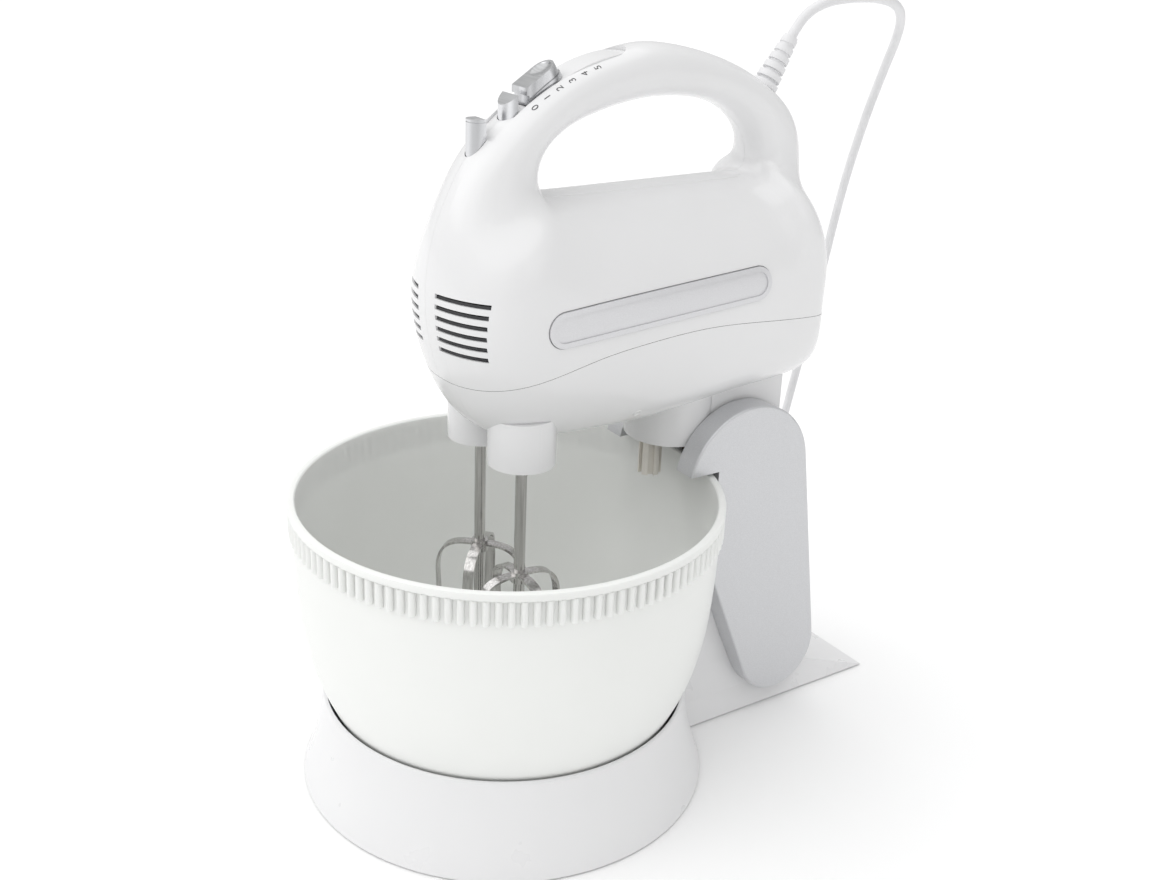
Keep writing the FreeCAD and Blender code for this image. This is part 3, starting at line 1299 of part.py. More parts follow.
def switch_seat():
    """The bracket in the handle's front that carries both springs and the speed switch."""
    low = PLUNGER_TOP_Z - PLUNGER_L - EJECT_SPRING_L - SEAT_GAP
    cup = cylinder(5.5, 3.0, (0, PLUNGER_Y, low - 3.0))
    shelf = box((-10, PLUNGER_Y - 6, low - 5.0), (10, 8, low - 3.0))
    seat_z = TURBO_LOW_Z - TURBO_SPRING_L - 2 * SEAT_GAP
    cup_2 = cylinder(4.5, 2.5, (0, turbo_middle(), seat_z - 2.5))
    post = box((-3, turbo_middle() - 3, low - 5.0), (3, turbo_middle() + 3, seat_z - 1))
    return union([cup, shelf, cup_2, post])


def speed_switch():
    centre = on_arc(ARC_R - TRACK_DEPTH - TRACK_LINING - 6.1, SLIDER_ANGLE - SLIDER_TRAVEL / 2)
    body = box((-6, -14, -4), (6, 14, 4))
    body.rotate(Vector(0, 0, 0), X_AXIS, SLIDER_ANGLE - SLIDER_TRAVEL / 2 - 90)
    body.translate(centre)
    return body


# ---------------------------------------------------------------- cord
def gland_axis():
    a = math.radians(GLAND_LEAN)
    return Vector(0, math.sin(a), math.cos(a))


def gland_point(distance):
    return Vector(0, GLAND_Y, GLAND_Z) + gland_axis() * distance


def cord_gland(form):
    """The tapered strain relief with its ribs."""
    axis = gland_axis()
    solid = Part.makeCone(GLAND_R0 - 1.6, GLAND_R1 - 0.6, GLAND_L + 9, gland_point(-9), axis)
    collars = []
    pitch = GLAND_L / GLAND_RIBS
    for i in range(GLAND_RIBS):
        share = i / (GLAND_RIBS - 1)
        radius = GLAND_R0 + (GLAND_R1 - GLAND_R0) * share
        collars.append(Part.makeCylinder(radius, pitch * 0.62, gland_point(0.6 + i * pitch), axis).cut(form))
    return union([solid] + collars)


# The cord's route from the gland to the coil, from the gland's end on: (x, y, z).
# The points after the first hang from the gland, fall behind the column and lie on the table.
CORD_ROUTE = (
    (0.0, 167.3, 382.1),
    (0.0, 175.0, 388.2),
    (0.0, 186.0, 392.0),
    (0.0, 202.0, 393.6),
    (-2.0, 222.0, 393.0),
    (-7.0, 241.0, 389.5),
    (-16.0, 257.0, 382.0),
    (-30.0, 270.0, 368.0),
    (-47.0, 279.0, 346.0),
    (-62.0, 283.0, 314.0),
    (-74.0, 283.0, 271.0),
    (-81.0, 280.0, 217.0),
    (-85.0, 273.0, 161.0),
    (-88.0, 264.0, 107.0),
    (-92.0, 256.0, 63.0),
    (-97.0, 246.0, 31.0),
    (-106.0, 232.0, 11.0),
    (-116.0, 213.0, 3.2),
    (-127.0, 190.0, 2.9),
    (-134.0, 160.0, 2.8),
    (-137.0, 131.0, 2.8),
)
COIL_R = 28.5             # middle of the coil's turns
COIL_W = 10.4             # width of the wound ring
COIL_H = 13.0
COIL_X = -165.5           # the coil lies behind the bowl
COIL_Y = 118.0
PLUG_Y = 68.0


def cord_points():
    return [gland_point(GLAND_L + RUN_FIT)] + [Vector(*p) for p in CORD_ROUTE]


def cord_tube():
    """Straight runs joined by tangent arcs."""
    points = cord_points()
    edges = []
    here = points[0]
    length = 0.0
    for before, corner, after in zip(points, points[1:], points[2:]):
        run_in = corner - before
        run_out = after - corner
        shorter = min(run_in.Length, run_out.Length)
        half_turn = run_in.getAngle(run_out) / 2
        cut = 0.45 * shorter
        radius = cut / math.tan(half_turn)
        run_in.normalize()
        run_out.normalize()
        arc_in = corner - run_in * cut
        arc_out = corner + run_out * cut
        inward = run_out - run_in
        inward.normalize()
        depth = radius / math.cos(half_turn) - radius
        arc = Part.Arc(arc_in, corner + inward * depth, arc_out).toShape()
        edges += [Part.makeLine(here, arc_in), arc]
        length += (arc_in - here).Length + arc.Length
        here = arc_out
        print("cord radius %.1f mm, run %.1f mm" % (radius, shorter))
    edges.append(Part.makeLine(here, points[-1]))
    length += (points[-1] - here).Length
    first = points[1] - points[0]
    section = Part.Wire(Part.makeCircle(CORD_R, points[0], first))
    solid = Part.Wire(edges).makePipeShell([section], True, False)
    print("cord tube %.0f mm, volume ratio %.4f" % (length, solid.Volume / (math.pi * CORD_R ** 2 * length)))
    return solid


def cord_coil():
    """The outer shape of the wound length."""
    r0, r1 = COIL_R - COIL_W / 2, COIL_R + COIL_W / 2
    ring = tube(r1, r0, COIL_H, (COIL_X, COIL_Y, 0))
    return ring.makeChamfer(2.0, [e for e in ring.Edges if e.Curve.TypeId == "Part::GeomCircle"])


def plug_body():
    """A flat two-pin plug lying on the table, with its tapered neck towards the coil."""
    length, width, height = 30.0, 23.0, 13.0
    x, y = COIL_X, PLUG_Y
    body = box((x - width / 2, y - length, 0), (x + width / 2, y, height))
    body = body.makeFillet(5.0, [e for e in body.Edges if abs(e.Vertexes[0].Z - e.Vertexes[1].Z) > 1])
    neck = cone(5.5, 3.4, COIL_Y - COIL_R - COIL_W / 2 - y + 6, (x, y - 6, height / 2), Y_AXIS)
    pins = [cylinder(2.02, 8, (x + side * 9.5, y - length, height / 2), Y_AXIS) for side in (-1, 1)]
    return union([body, neck.cut(cylinder(COIL_R + COIL_W / 2 + 0.1, 30, (COIL_X, COIL_Y, -2)))]).cut(
        Part.Compound(pins))


def plug_pins():
    x, y, z = COIL_X, PLUG_Y - 30.0, 6.5
    pins = []
    for side in (-1, 1):
        pin = cylinder(2.0, 26.0, (x + side * 9.5, y - 18.5, z), Y_AXIS)
        pins.append(pin.makeFillet(0.8, [pin.Edges[2]]))
    return Part.Compound(pins)


# ---------------------------------------------------------------- screws of the body
def housing_screws():
    """The screws that hold the lower shell, and the one beside the hood."""
    x, y = BODY_SCREW
    return Part.Compound([screw(x, y, body_screw_seat(), Z_AXIS, 3.0)])


def origin_shift():
    return Vector(0, -(TAIL_Y - RIM_R) / 2, 0)


def main():
    os.makedirs("parts", exist_ok=True)
    form = body_form()
    cavity = body_form(SHELL_WALL)
    room = body_form(SHELL_WALL + SEAT_GAP)
    just_outside = body_form(-PART_GAP / 2)
    upper = upper_shell(form, cavity)
    cover = side_cover()
    panel = side_panel()
    nodes = {
        "base_shell": base_shell(),
        "base_plate": base_plate(),
        "rubber_feet": rubber_feet(),
        "base_screws": base_screws(),
        "turntable_pivot": turntable_pivot(),
        "pivot_washer": pivot_washer(),
        "turntable": turntable(),
        "bowl": bowl(),
        "side_cover_right": cover,
        "side_cover_left": mirrored(cover),
        "hinge_pin": hinge_pin(),
        "hinge_bushes": hinge_bushes(),
        "latch_button": latch_button(),
        "latch_spring": latch_spring(),
        "cradle": cradle(just_outside),
        "upper_housing_right": housing_half(upper, 1),
        "upper_housing_left": housing_half(upper, -1),
        "lower_housing": lower_housing(form, cavity),
        "side_panel_right": panel,
        "side_panel_left": mirrored(panel),
        "housing_screws": housing_screws(),
        "motor_shaft": motor_shaft(),
        "armature_core": armature_core(),
        "commutator": commutator(),
        "cooling_fan": cooling_fan(),
        "motor_stator": motor_stator(),
        "field_coils": field_coils(),
        "shaft_bearings": shaft_bearings(),
        "gear_frame": gear_frame(room),
        "spindle_bushes": spindle_bushes(),
        "motor_bracket": motor_bracket(room),
        "brush_holders": brush_holders(),
        "carbon_brushes": carbon_brushes(),
        "beater_drive_right": beater_drive(1),
        "beater_drive_left": beater_drive(-1),
        "turn_wheel": turn_wheel(),
        "drive_pinion": drive_pinion(),
        "beater_right": beater(1),
        "beater_left": beater(-1),
        "slider_track": slider_track(),
        "speed_slider": speed_slider(),
        "speed_switch": speed_switch(),
        "turbo_button": turbo_button(),
        "turbo_spring": turbo_spring(),
        "eject_plunger": eject_plunger(),
        "eject_spring": eject_spring(),
        "switch_seat": switch_seat().common(room),
        "cord_gland": cord_gland(just_outside),
        "power_cord": cord_tube(),
        "cord_coil": cord_coil(),
        "plug_body": plug_body(),
        "plug_pins": plug_pins(),
    }
    for name, shape in nodes.items():
        shape.translate(origin_shift())
        shape.exportStep("parts/" + name + ".step")
        bounds = shape.BoundBox
        print("%-20s solids %d valid %s volume %.0f" % (name, len(shape.Solids), shape.isValid(), shape.Volume))
        print("    x %.1f..%.1f y %.1f..%.1f z %.1f..%.1f" % (
            bounds.XMin, bounds.XMax, bounds.YMin, bounds.YMax, bounds.ZMin, bounds.ZMax))


main()
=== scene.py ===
import json
import math

import bmesh
import bpy
from bpy.props import FloatProperty, FloatVectorProperty, IntProperty, PointerProperty
from mathutils import Matrix, Quaternion, Vector
from mathutils.bvhtree import BVHTree


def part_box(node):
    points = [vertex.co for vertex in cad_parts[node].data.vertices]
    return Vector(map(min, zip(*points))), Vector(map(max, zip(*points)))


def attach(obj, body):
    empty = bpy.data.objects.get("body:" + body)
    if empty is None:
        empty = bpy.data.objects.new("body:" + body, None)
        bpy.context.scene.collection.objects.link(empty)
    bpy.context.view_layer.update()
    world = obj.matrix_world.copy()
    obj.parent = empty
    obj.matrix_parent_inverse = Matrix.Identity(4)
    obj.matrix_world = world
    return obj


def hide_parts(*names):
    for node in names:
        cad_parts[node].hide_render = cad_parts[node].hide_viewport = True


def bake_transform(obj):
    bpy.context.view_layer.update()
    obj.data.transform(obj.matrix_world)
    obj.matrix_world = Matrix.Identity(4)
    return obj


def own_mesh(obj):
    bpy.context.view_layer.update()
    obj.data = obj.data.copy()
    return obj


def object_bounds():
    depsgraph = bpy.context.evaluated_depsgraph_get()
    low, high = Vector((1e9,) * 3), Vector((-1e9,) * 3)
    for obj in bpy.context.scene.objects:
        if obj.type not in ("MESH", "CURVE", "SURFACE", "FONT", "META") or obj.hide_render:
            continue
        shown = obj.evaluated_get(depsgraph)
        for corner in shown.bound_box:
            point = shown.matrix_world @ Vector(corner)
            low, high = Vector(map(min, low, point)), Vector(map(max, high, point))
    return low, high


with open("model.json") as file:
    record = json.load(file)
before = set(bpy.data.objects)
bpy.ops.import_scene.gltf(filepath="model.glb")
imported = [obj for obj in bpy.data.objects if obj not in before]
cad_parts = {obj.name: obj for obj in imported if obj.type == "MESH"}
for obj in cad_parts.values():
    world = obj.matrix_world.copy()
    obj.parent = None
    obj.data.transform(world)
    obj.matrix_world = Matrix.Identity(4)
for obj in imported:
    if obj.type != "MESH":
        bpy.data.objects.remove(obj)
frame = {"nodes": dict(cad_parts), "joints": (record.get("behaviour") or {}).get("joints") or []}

bl_info = {
    "name": "Stand mixer",
    "version": (1, 0, 0),
    "blender": (4, 5, 0),
    "location": "View3D > Sidebar > Mixer",
    "description": "Dresses the packed stand mixer: bowl, cord, speed numbers, finishes and stage",
    "category": "Object",
}

MM = 0.001
CAD_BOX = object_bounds()
BOWL_LOW, BOWL_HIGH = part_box("bowl")
BOWL_AXIS = Vector(((BOWL_LOW[0] + BOWL_HIGH[0]) / 2, (BOWL_LOW[1] + BOWL_HIGH[1]) / 2, 0.0))


# ---------------------------------------- sizes and colours
class MixerStageSizes(bpy.types.PropertyGroup):
    """Where the camera stands and how bright the studio is."""

    azimuth: FloatProperty(name="Azimuth", description="Camera's turn about the mixer, from the front",
                           default=math.radians(55.302), subtype="ANGLE")
    elevation: FloatProperty(name="Elevation", description="Camera's height above the table, as an angle",
                             default=math.radians(22.596), subtype="ANGLE")
    roll: FloatProperty(name="Roll", description="Camera's tilt about its own view axis",
                        default=math.radians(2.347), subtype="ANGLE")
    distance: FloatProperty(name="Distance", description="From the camera to the point it looks at",
                            default=0.73074, unit="LENGTH")
    target: FloatVectorProperty(name="Target", description="The point the camera looks at",
                                default=(-0.003688, -0.013746, 0.174656), subtype="XYZ")
    lens: FloatProperty(name="Lens", description="Focal length on a 36 mm wide sensor", default=42.97)
    floor_size: FloatProperty(name="Floor", description="Side of the floor sheet", default=12.0,
                              unit="LENGTH")
    sky_power: FloatProperty(name="Overhead light", description="Strength of the wide light from above",
                             default=1.75)
    key_power: FloatProperty(name="Key light", description="Power of the soft light from the front left",
                             default=2.6)
    fill_power: FloatProperty(name="Fill light", description="Power of the light from the right",
                              default=1.1)
    world_strength: FloatProperty(name="Surround", description="Brightness of the white surround",
                                  default=0.6)


class MixerBowlSizes(bpy.types.PropertyGroup):
    """The bowl and its toothed rim."""

    wall: FloatProperty(name="Wall", description="Thickness of the bowl's wall", default=0.0026,
                        unit="LENGTH")
    foot_inset: FloatProperty(name="Foot inset", description="From the rim's radius to the foot's radius",
                              default=0.050, unit="LENGTH")
    band: FloatProperty(name="Band", description="Plain band above the teeth", default=0.004, unit="LENGTH")
    teeth: IntProperty(name="Teeth", description="Number of teeth around the rim", default=120, min=12)
    tooth_height: FloatProperty(name="Tooth height", description="Height of a tooth", default=0.013,
                                unit="LENGTH")
    tooth_depth: FloatProperty(name="Tooth depth", description="How far a tooth stands out",
                               default=0.0026, unit="LENGTH")
    tooth_width: FloatProperty(name="Tooth width", description="Width of a tooth at its root",
                               default=0.0038, unit="LENGTH")


class MixerCordSizes(bpy.types.PropertyGroup):
    """The mains lead."""

    diameter: FloatProperty(name="Diameter", description="Outside of the lead", default=0.0052,
                            unit="LENGTH")
    length: FloatProperty(name="Length", description="Real length from the gland to the plug",
                          default=1.37, unit="LENGTH")
    turns: IntProperty(name="Turns", description="Turns in the stored coil", default=4, min=1)
    points_per_turn: IntProperty(name="Points per turn", description="Control points of each turn",
                                 default=14)


class MixerScaleSizes(bpy.types.PropertyGroup):
    """The printed speed numbers on the handle."""

    height: FloatProperty(name="Digit height", description="Height of a printed number", default=0.0036,
                          unit="LENGTH")
    first_angle: FloatProperty(name="First angle", default=math.radians(131.6), subtype="ANGLE",
                               description="Place of 0 on the handle's bow, from the rear")
    step_angle: FloatProperty(name="Step", description="Angle from one number to the next",
                              default=math.radians(4.97), subtype="ANGLE")
    offset: FloatProperty(name="Offset", description="From the crest's middle to the first number",
                          default=0.0117, unit="LENGTH")
    drift: FloatProperty(name="Drift", description="How much nearer to the crest each next number sits",
                         default=0.00026, unit="LENGTH")
    slope: FloatProperty(name="Slope", description="Steepness of the flank under the numbers",
                         default=math.radians(34.0), subtype="ANGLE")


class MixerLipSizes(bpy.types.PropertyGroup):
    """The moulded lip along the floor of the finger gap."""

    half_width: FloatProperty(name="Half width", description="From the middle to the lip's edge",
                              default=0.0084, unit="LENGTH")
    floor_z: FloatProperty(name="Floor", description="Height of the gap's floor in its middle",
                           default=0.3087, unit="LENGTH")
    fall: FloatProperty(name="Fall", description="How much lower the floor is at the lip's edge",
                        default=0.0007, unit="LENGTH")
    lift: FloatProperty(name="Lift", description="Height of the lip over the floor", default=0.00055,
                        unit="LENGTH")
    front: FloatProperty(name="Front end", description="Front end, inside the handle's front arm",
                         default=-0.0525, unit="LENGTH")
    rear: FloatProperty(name="Rear end", description="Rear end, inside the handle's rear arm",
                        default=0.0745, unit="LENGTH")


class MixerColours(bpy.types.PropertyGroup):
    """Colours of the finishes."""

    shell: FloatVectorProperty(name="Shell", description="Glossy moulded shells", default=(0.8, 0.8, 0.805),
                               subtype="COLOR")
    bowl: FloatVectorProperty(name="Bowl", description="Slightly translucent bowl",
                              default=(0.85, 0.86, 0.84), subtype="COLOR")
    silver: FloatVectorProperty(name="Silver", description="Silver paint of covers and panels",
                                default=(0.62, 0.625, 0.64), subtype="COLOR")
    panel: FloatVectorProperty(name="Panels", description="Pale silver lacquer of the side panels",
                               default=(0.68, 0.68, 0.695), subtype="COLOR")
    switch: FloatVectorProperty(name="Switches", description="Darker metal paint of the switches",
                                default=(0.42, 0.425, 0.43), subtype="COLOR")
    pinion: FloatVectorProperty(name="Pinion", description="Beige nylon", default=(0.8, 0.77, 0.71),
                                subtype="COLOR")
    cord: FloatVectorProperty(name="Cord", description="Jacket of the lead", default=(0.78, 0.78, 0.79),
                              subtype="COLOR")


def settings():
    """The sizes and colours in use."""
    return bpy.context.scene.mixer


# ---------------------------------------- finishes
TONE_ENDS = (0.3, 0.7)    # values of a pattern between which the dark tone turns into the light one


class Finish:
    """A new material with its shader, ready for pattern nodes."""

    def __init__(self, name):
        self.material = bpy.data.materials.new(name)
        self.material.use_nodes = True
        self.tree = self.material.node_tree
        self.shader = self.tree.nodes["Principled BSDF"]
        self.coords = self.node("ShaderNodeTexCoord")

    def node(self, kind, **values):
        made = self.tree.nodes.new(kind)
        for key, value in values.items():
            setattr(made, key, value)
        return made

    def link(self, out, into):
        self.tree.links.new(out, into)

    def set(self, **values):
        """Sets constants on the shader's own sockets."""
        for key, value in values.items():
            self.shader.inputs[key.replace("_", " ")].default_value = value

    def noise(self, scale, detail=3.0, stretch=(1.0, 1.0, 1.0)):
        """A cloudy pattern; a small stretch value draws it out along that axis."""
        mapping = self.node("ShaderNodeMapping")
        mapping.inputs["Scale"].default_value = stretch
        self.link(self.coords.outputs["Object"], mapping.inputs["Vector"])
        noise = self.node("ShaderNodeTexNoise")
        noise.inputs["Scale"].default_value = scale
        noise.inputs["Detail"].default_value = detail
        self.link(mapping.outputs["Vector"], noise.inputs["Vector"])
        return noise.outputs["Fac"]

    def wave(self, scale, direction):
        """Even bands across the given axis."""
        wave = self.node("ShaderNodeTexWave", bands_direction=direction)
        wave.inputs["Scale"].default_value = scale
        self.link(self.coords.outputs["Object"], wave.inputs["Vector"])
        return wave.outputs["Fac"]

    def colour(self, factor, dark, light):
        ramp = self.node("ShaderNodeValToRGB")
        for element, place, tone in zip(ramp.color_ramp.elements, TONE_ENDS, (dark, light)):
            element.position = place
            element.color = (*tone, 1.0)
        self.link(factor, ramp.inputs["Fac"])
        self.link(ramp.outputs["Color"], self.shader.inputs["Base Color"])

    def roughness(self, factor, smooth, rough):
        remap = self.node("ShaderNodeMapRange")
        remap.inputs["To Min"].default_value = smooth
        remap.inputs["To Max"].default_value = rough
        self.link(factor, remap.inputs["Value"])
        self.link(remap.outputs["Result"], self.shader.inputs["Roughness"])

    def bump(self, height, strength, distance):
        bump = self.node("ShaderNodeBump")
        bump.inputs["Strength"].default_value = strength
        bump.inputs["Distance"].default_value = distance
        self.link(height, bump.inputs["Height"])
        self.link(bump.outputs["Normal"], self.shader.inputs["Normal"])


def shade(colour, factor):
    """A darker or lighter tone of a colour."""
    return tuple(min(1.0, c * factor) for c in colour)


def mottled(name, tone_scale, dark, light, gloss_scale, smooth, rough):
    """A finish whose tone and gloss change in soft clouds."""
    finish = Finish(name)
    finish.colour(finish.noise(tone_scale), dark, light)
    finish.roughness(finish.noise(gloss_scale), smooth, rough)
    return finish


def glossy_shell():
    """Bright moulded plastic, with a faint flow mottle and the soft orange peel of a polished mould."""
    colour = settings().colours.shell
    finish = mottled("Glossy shell", 14.0, shade(colour, 0.975), colour, 60.0, 0.2, 0.28)
    finish.bump(finish.noise(420.0, 1.0), 0.05, 0.0002)
    finish.set(IOR=1.5, Coat_Weight=0.25, Coat_Roughness=0.08)
    return finish.material


def bowl_plastic():
    """Satin polypropylene that lets a little light through."""
    colour = settings().colours.bowl
    finish = mottled("Bowl plastic", 9.0, shade(colour, 0.965), colour, 45.0, 0.3, 0.4)
    finish.bump(finish.noise(600.0, 2.0), 0.06, 0.0002)
    finish.set(IOR=1.49, Subsurface_Weight=0.3, Subsurface_Scale=0.004, Subsurface_Radius=(1.0, 1.0, 1.0))
    return finish.material


def base_plastic():
    """The stand's moulded plastic, a little less polished than the mixer's."""
    colour = settings().colours.shell
    finish = mottled("Base plastic", 10.0, shade(colour, 0.97), colour, 50.0, 0.24, 0.34)
    finish.bump(finish.noise(380.0, 2.0), 0.05, 0.0002)
    finish.set(IOR=1.5, Coat_Weight=0.15, Coat_Roughness=0.12)
    return finish.material


def silver_paint():
    """Fine metal flake under a satin lacquer."""
    colour = settings().colours.silver
    finish = Finish("Silver paint")
    finish.colour(finish.noise(2600.0, 1.0), shade(colour, 0.93), shade(colour, 1.04))
    finish.roughness(finish.noise(900.0, 2.0), 0.32, 0.42)
    finish.bump(finish.noise(1800.0, 1.0), 0.04, 0.0001)
    finish.set(Metallic=0.55, Coat_Weight=0.3, Coat_Roughness=0.2)
    return finish.material


def panel_paint():
    """The side panels' paler silver lacquer."""
    colour = settings().colours.panel
    finish = Finish("Panel paint")
    finish.colour(finish.noise(2400.0, 1.0), shade(colour, 0.96), shade(colour, 1.03))
    finish.roughness(finish.noise(700.0, 2.0), 0.26, 0.36)
    finish.bump(finish.noise(1600.0, 1.0), 0.03, 0.0001)
    finish.set(Metallic=0.35, Coat_Weight=0.4, Coat_Roughness=0.15)
    return finish.material


def switch_paint():
    """Metal paint with a fine brushed grain across the switch."""
    colour = settings().colours.switch
    finish = Finish("Switch paint")
    grain = finish.noise(700.0, 2.0, (0.04, 1.0, 1.0))
    finish.colour(grain, shade(colour, 0.85), shade(colour, 1.12))
    finish.roughness(grain, 0.24, 0.36)
    finish.bump(grain, 0.08, 0.0001)
    finish.set(Metallic=0.85, Coat_Weight=0.2)
    return finish.material


def switch_sides():
    """Bright metallic paint on the sides of the switches."""
    colour = settings().colours.silver
    finish = Finish("Switch sides")
    finish.colour(finish.noise(190.0, 1.0, (1.0, 1.0, 0.02)), shade(colour, 0.55), shade(colour, 1.3))
    finish.roughness(finish.noise(500.0), 0.16, 0.26)
    finish.bump(finish.noise(1500.0, 1.0), 0.03, 0.0001)
    finish.set(Metallic=0.85, Coat_Weight=0.3)
    return finish.material


def beater_steel():
    """Polished steel strip with fine drawing lines along Z."""
    finish = Finish("Beater steel")
    grain = finish.noise(900.0, 2.0, (1.0, 1.0, 0.03))
    finish.colour(grain, (0.44, 0.43, 0.42), (0.66, 0.65, 0.64))
    finish.roughness(grain, 0.12, 0.24)
    finish.bump(grain, 0.05, 0.0001)
    finish.set(Metallic=1.0)
    return finish.material


def plain_steel():
    """Turned and zinc plated steel."""
    finish = mottled("Plated steel", 220.0, (0.5, 0.5, 0.52), (0.64, 0.64, 0.66), 160.0, 0.26, 0.4)
    finish.bump(finish.noise(1200.0), 0.05, 0.0001)
    finish.set(Metallic=1.0)
    return finish.material


def beige_nylon():
    """Moulded nylon, dull and slightly mottled."""
    colour = settings().colours.pinion
    finish = mottled("Beige nylon", 120.0, shade(colour, 0.94), shade(colour, 1.03), 90.0, 0.42, 0.55)
    finish.bump(finish.noise(900.0), 0.08, 0.0001)
    finish.set(IOR=1.53)
    return finish.material


def gear_nylon():
    """Natural nylon with a film of grease."""
    finish = mottled("Gear nylon", 70.0, (0.74, 0.73, 0.66), (0.83, 0.82, 0.76), 60.0, 0.25, 0.5)
    finish.bump(finish.noise(500.0), 0.08, 0.0001)
    finish.set(IOR=1.53)
    return finish.material


def cord_jacket():
    """Soft moulded jacket of the lead and its gland."""
    colour = settings().colours.cord
    finish = mottled("Cord jacket", 80.0, shade(colour, 0.95), colour, 140.0, 0.4, 0.52)
    finish.bump(finish.noise(1400.0, 2.0), 0.12, 0.0001)
    finish.set(IOR=1.5)
    return finish.material


def foot_rubber():
    """Matt black rubber with a dusty bloom."""
    finish = mottled("Foot rubber", 160.0, (0.025, 0.025, 0.026), (0.05, 0.05, 0.05), 220.0, 0.6, 0.8)
    finish.bump(finish.noise(900.0, 3.0), 0.25, 0.0002)
    return finish.material


def dark_moulding():
    """Dark inner mouldings; also painted shade, put on the white shells' faces inside the vents and along
    the parting line where shade falls.
    """
    finish = mottled("Dark moulding and painted shade", 60.0, (0.03, 0.03, 0.032), (0.055, 0.055, 0.06), 110.0, 0.45, 0.62)
    finish.bump(finish.noise(800.0), 0.12, 0.0001)
    return finish.material


def metal_like(name, dark, light, low, high):
    """A worn bare metal in the given tones."""
    finish = mottled(name, 180.0, dark, light, 120.0, low, high)
    finish.bump(finish.noise(900.0), 0.08, 0.0001)
    finish.set(Metallic=1.0)
    return finish.material


def laminated_steel():
    """Edges of stacked sheets, half a millimetre each, along Y."""
    finish = Finish("Laminated steel")
    sheets = finish.wave(320.0, "Y")
    finish.colour(sheets, (0.16, 0.16, 0.17), (0.34, 0.34, 0.36))
    finish.roughness(finish.noise(120.0), 0.4, 0.6)
    finish.bump(sheets, 0.3, 0.0002)
    finish.set(Metallic=0.9)
    return finish.material


def wound_copper():
    """Enamelled wire, laid in turns along X."""
    finish = Finish("Wound copper")
    turns = finish.wave(260.0, "X")
    finish.colour(turns, (0.35, 0.12, 0.04), (0.72, 0.33, 0.14))
    finish.roughness(finish.noise(120.0), 0.25, 0.4)
    finish.bump(turns, 0.4, 0.0003)
    finish.set(Metallic=0.9)
    return finish.material


def printed_ink():
    """Pad-printed dark grey ink, slightly uneven."""
    finish = Finish("Printed ink")
    finish.colour(finish.noise(900.0, 2.0), (0.03, 0.03, 0.033), (0.06, 0.06, 0.065))
    finish.roughness(finish.noise(300.0), 0.35, 0.5)
    return finish.material


def recess_shadow():
    """The shaded bottom of a screw recess."""
    finish = mottled("Recess shadow", 300.0, (0.3, 0.3, 0.3), (0.42, 0.42, 0.42), 200.0, 0.4, 0.5)
    return finish.material


def floor_paper():
    """A pale seamless sheet."""
    finish = Finish("Floor paper")
    finish.colour(finish.noise(3.0), (0.955, 0.955, 0.955), (0.975, 0.975, 0.975))
    finish.set(Roughness=0.9, Specular_IOR_Level=0.1)
    return finish.material


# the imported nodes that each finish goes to
NODE_FINISHES = (
    (glossy_shell, ("cradle", "upper_housing_right", "upper_housing_left", "lower_housing", "slider_track")),
    (base_plastic, ("base_shell", "base_plate", "turntable")),
    (bowl_plastic, ("bowl",)),
    (silver_paint, ("side_cover_right", "side_cover_left")),
    (panel_paint, ("side_panel_right", "side_panel_left")),
    (switch_sides, ("speed_slider", "turbo_button", "eject_plunger", "latch_button")),
    (beater_steel, ("beater_right", "beater_left")),
    (plain_steel, ("base_screws", "housing_screws", "hinge_pin", "motor_shaft", "turntable_pivot",
                   "latch_spring", "turbo_spring", "eject_spring")),
    (beige_nylon, ("drive_pinion",)),
    (gear_nylon, ("beater_drive_right", "beater_drive_left", "turn_wheel", "pivot_washer")),
    (cord_jacket, ("cord_gland", "power_cord", "cord_coil", "plug_body")),
    (foot_rubber, ("rubber_feet",)),
    (dark_moulding, ("gear_frame", "motor_bracket", "switch_seat", "speed_switch", "cooling_fan")),
    (laminated_steel, ("armature_core", "motor_stator")),
    (wound_copper, ("field_coils",)),
)
# name, dark and light tone, least and most roughness, nodes
BARE_METALS = (
    ("Sintered bronze", (0.36, 0.22, 0.11), (0.55, 0.36, 0.2), 0.4, 0.6,
     ("hinge_bushes", "spindle_bushes", "shaft_bearings")),
    ("Turned copper", (0.6, 0.27, 0.12), (0.8, 0.42, 0.22), 0.2, 0.35, ("commutator",)),
    ("Pressed brass", (0.5, 0.36, 0.14), (0.72, 0.55, 0.26), 0.25, 0.4, ("brush_holders",)),
    ("Carbon", (0.03, 0.03, 0.03), (0.08, 0.08, 0.08), 0.5, 0.7, ("carbon_brushes",)),
    ("Nickel plate", (0.6, 0.57, 0.5), (0.76, 0.73, 0.66), 0.15, 0.28, ("plug_pins",)),
)


def give_finish(piece, material):
    """Makes the material the piece's only one."""
    piece.data.materials.clear()
    piece.data.materials.append(material)


def paint_where(piece, material, test):
    """Gives the faces whose centre and normal pass the test a further finish."""
    piece.data.materials.append(material)
    place = len(piece.data.materials) - 1
    for face in piece.data.polygons:
        if test(face.center, face.normal):
            face.material_index = place


# places of the vents and of the parting line, where the white shells' faces are painted dark as shade
VENT_REACH = 78 * MM      # the vents lie farther from the middle than this, in the nose and at the rear
VENT_LOW_Z = 236 * MM
VENT_HIGH_Z = 270.15 * MM  # top of the highest slot
VENT_PITCH = 5.1 * MM
VENT_ROWS = 6
VENT_STEP = 0.4 * MM      # each slot is this much shorter than the one above
VENT_LOW_X = 8 * MM
VENT_HIGH_X = 36 * MM
SLIT_FLOOR = (0.5 * MM, 1.5 * MM)  # depths below a slot's top between which its slit's floor lies
SLOT_BACK = (1.3 * MM, 1.9 * MM)   # the same for the wall below the slit
PARTING_LOW_Z = 224 * MM
PARTING_HIGH_Z = 247 * MM
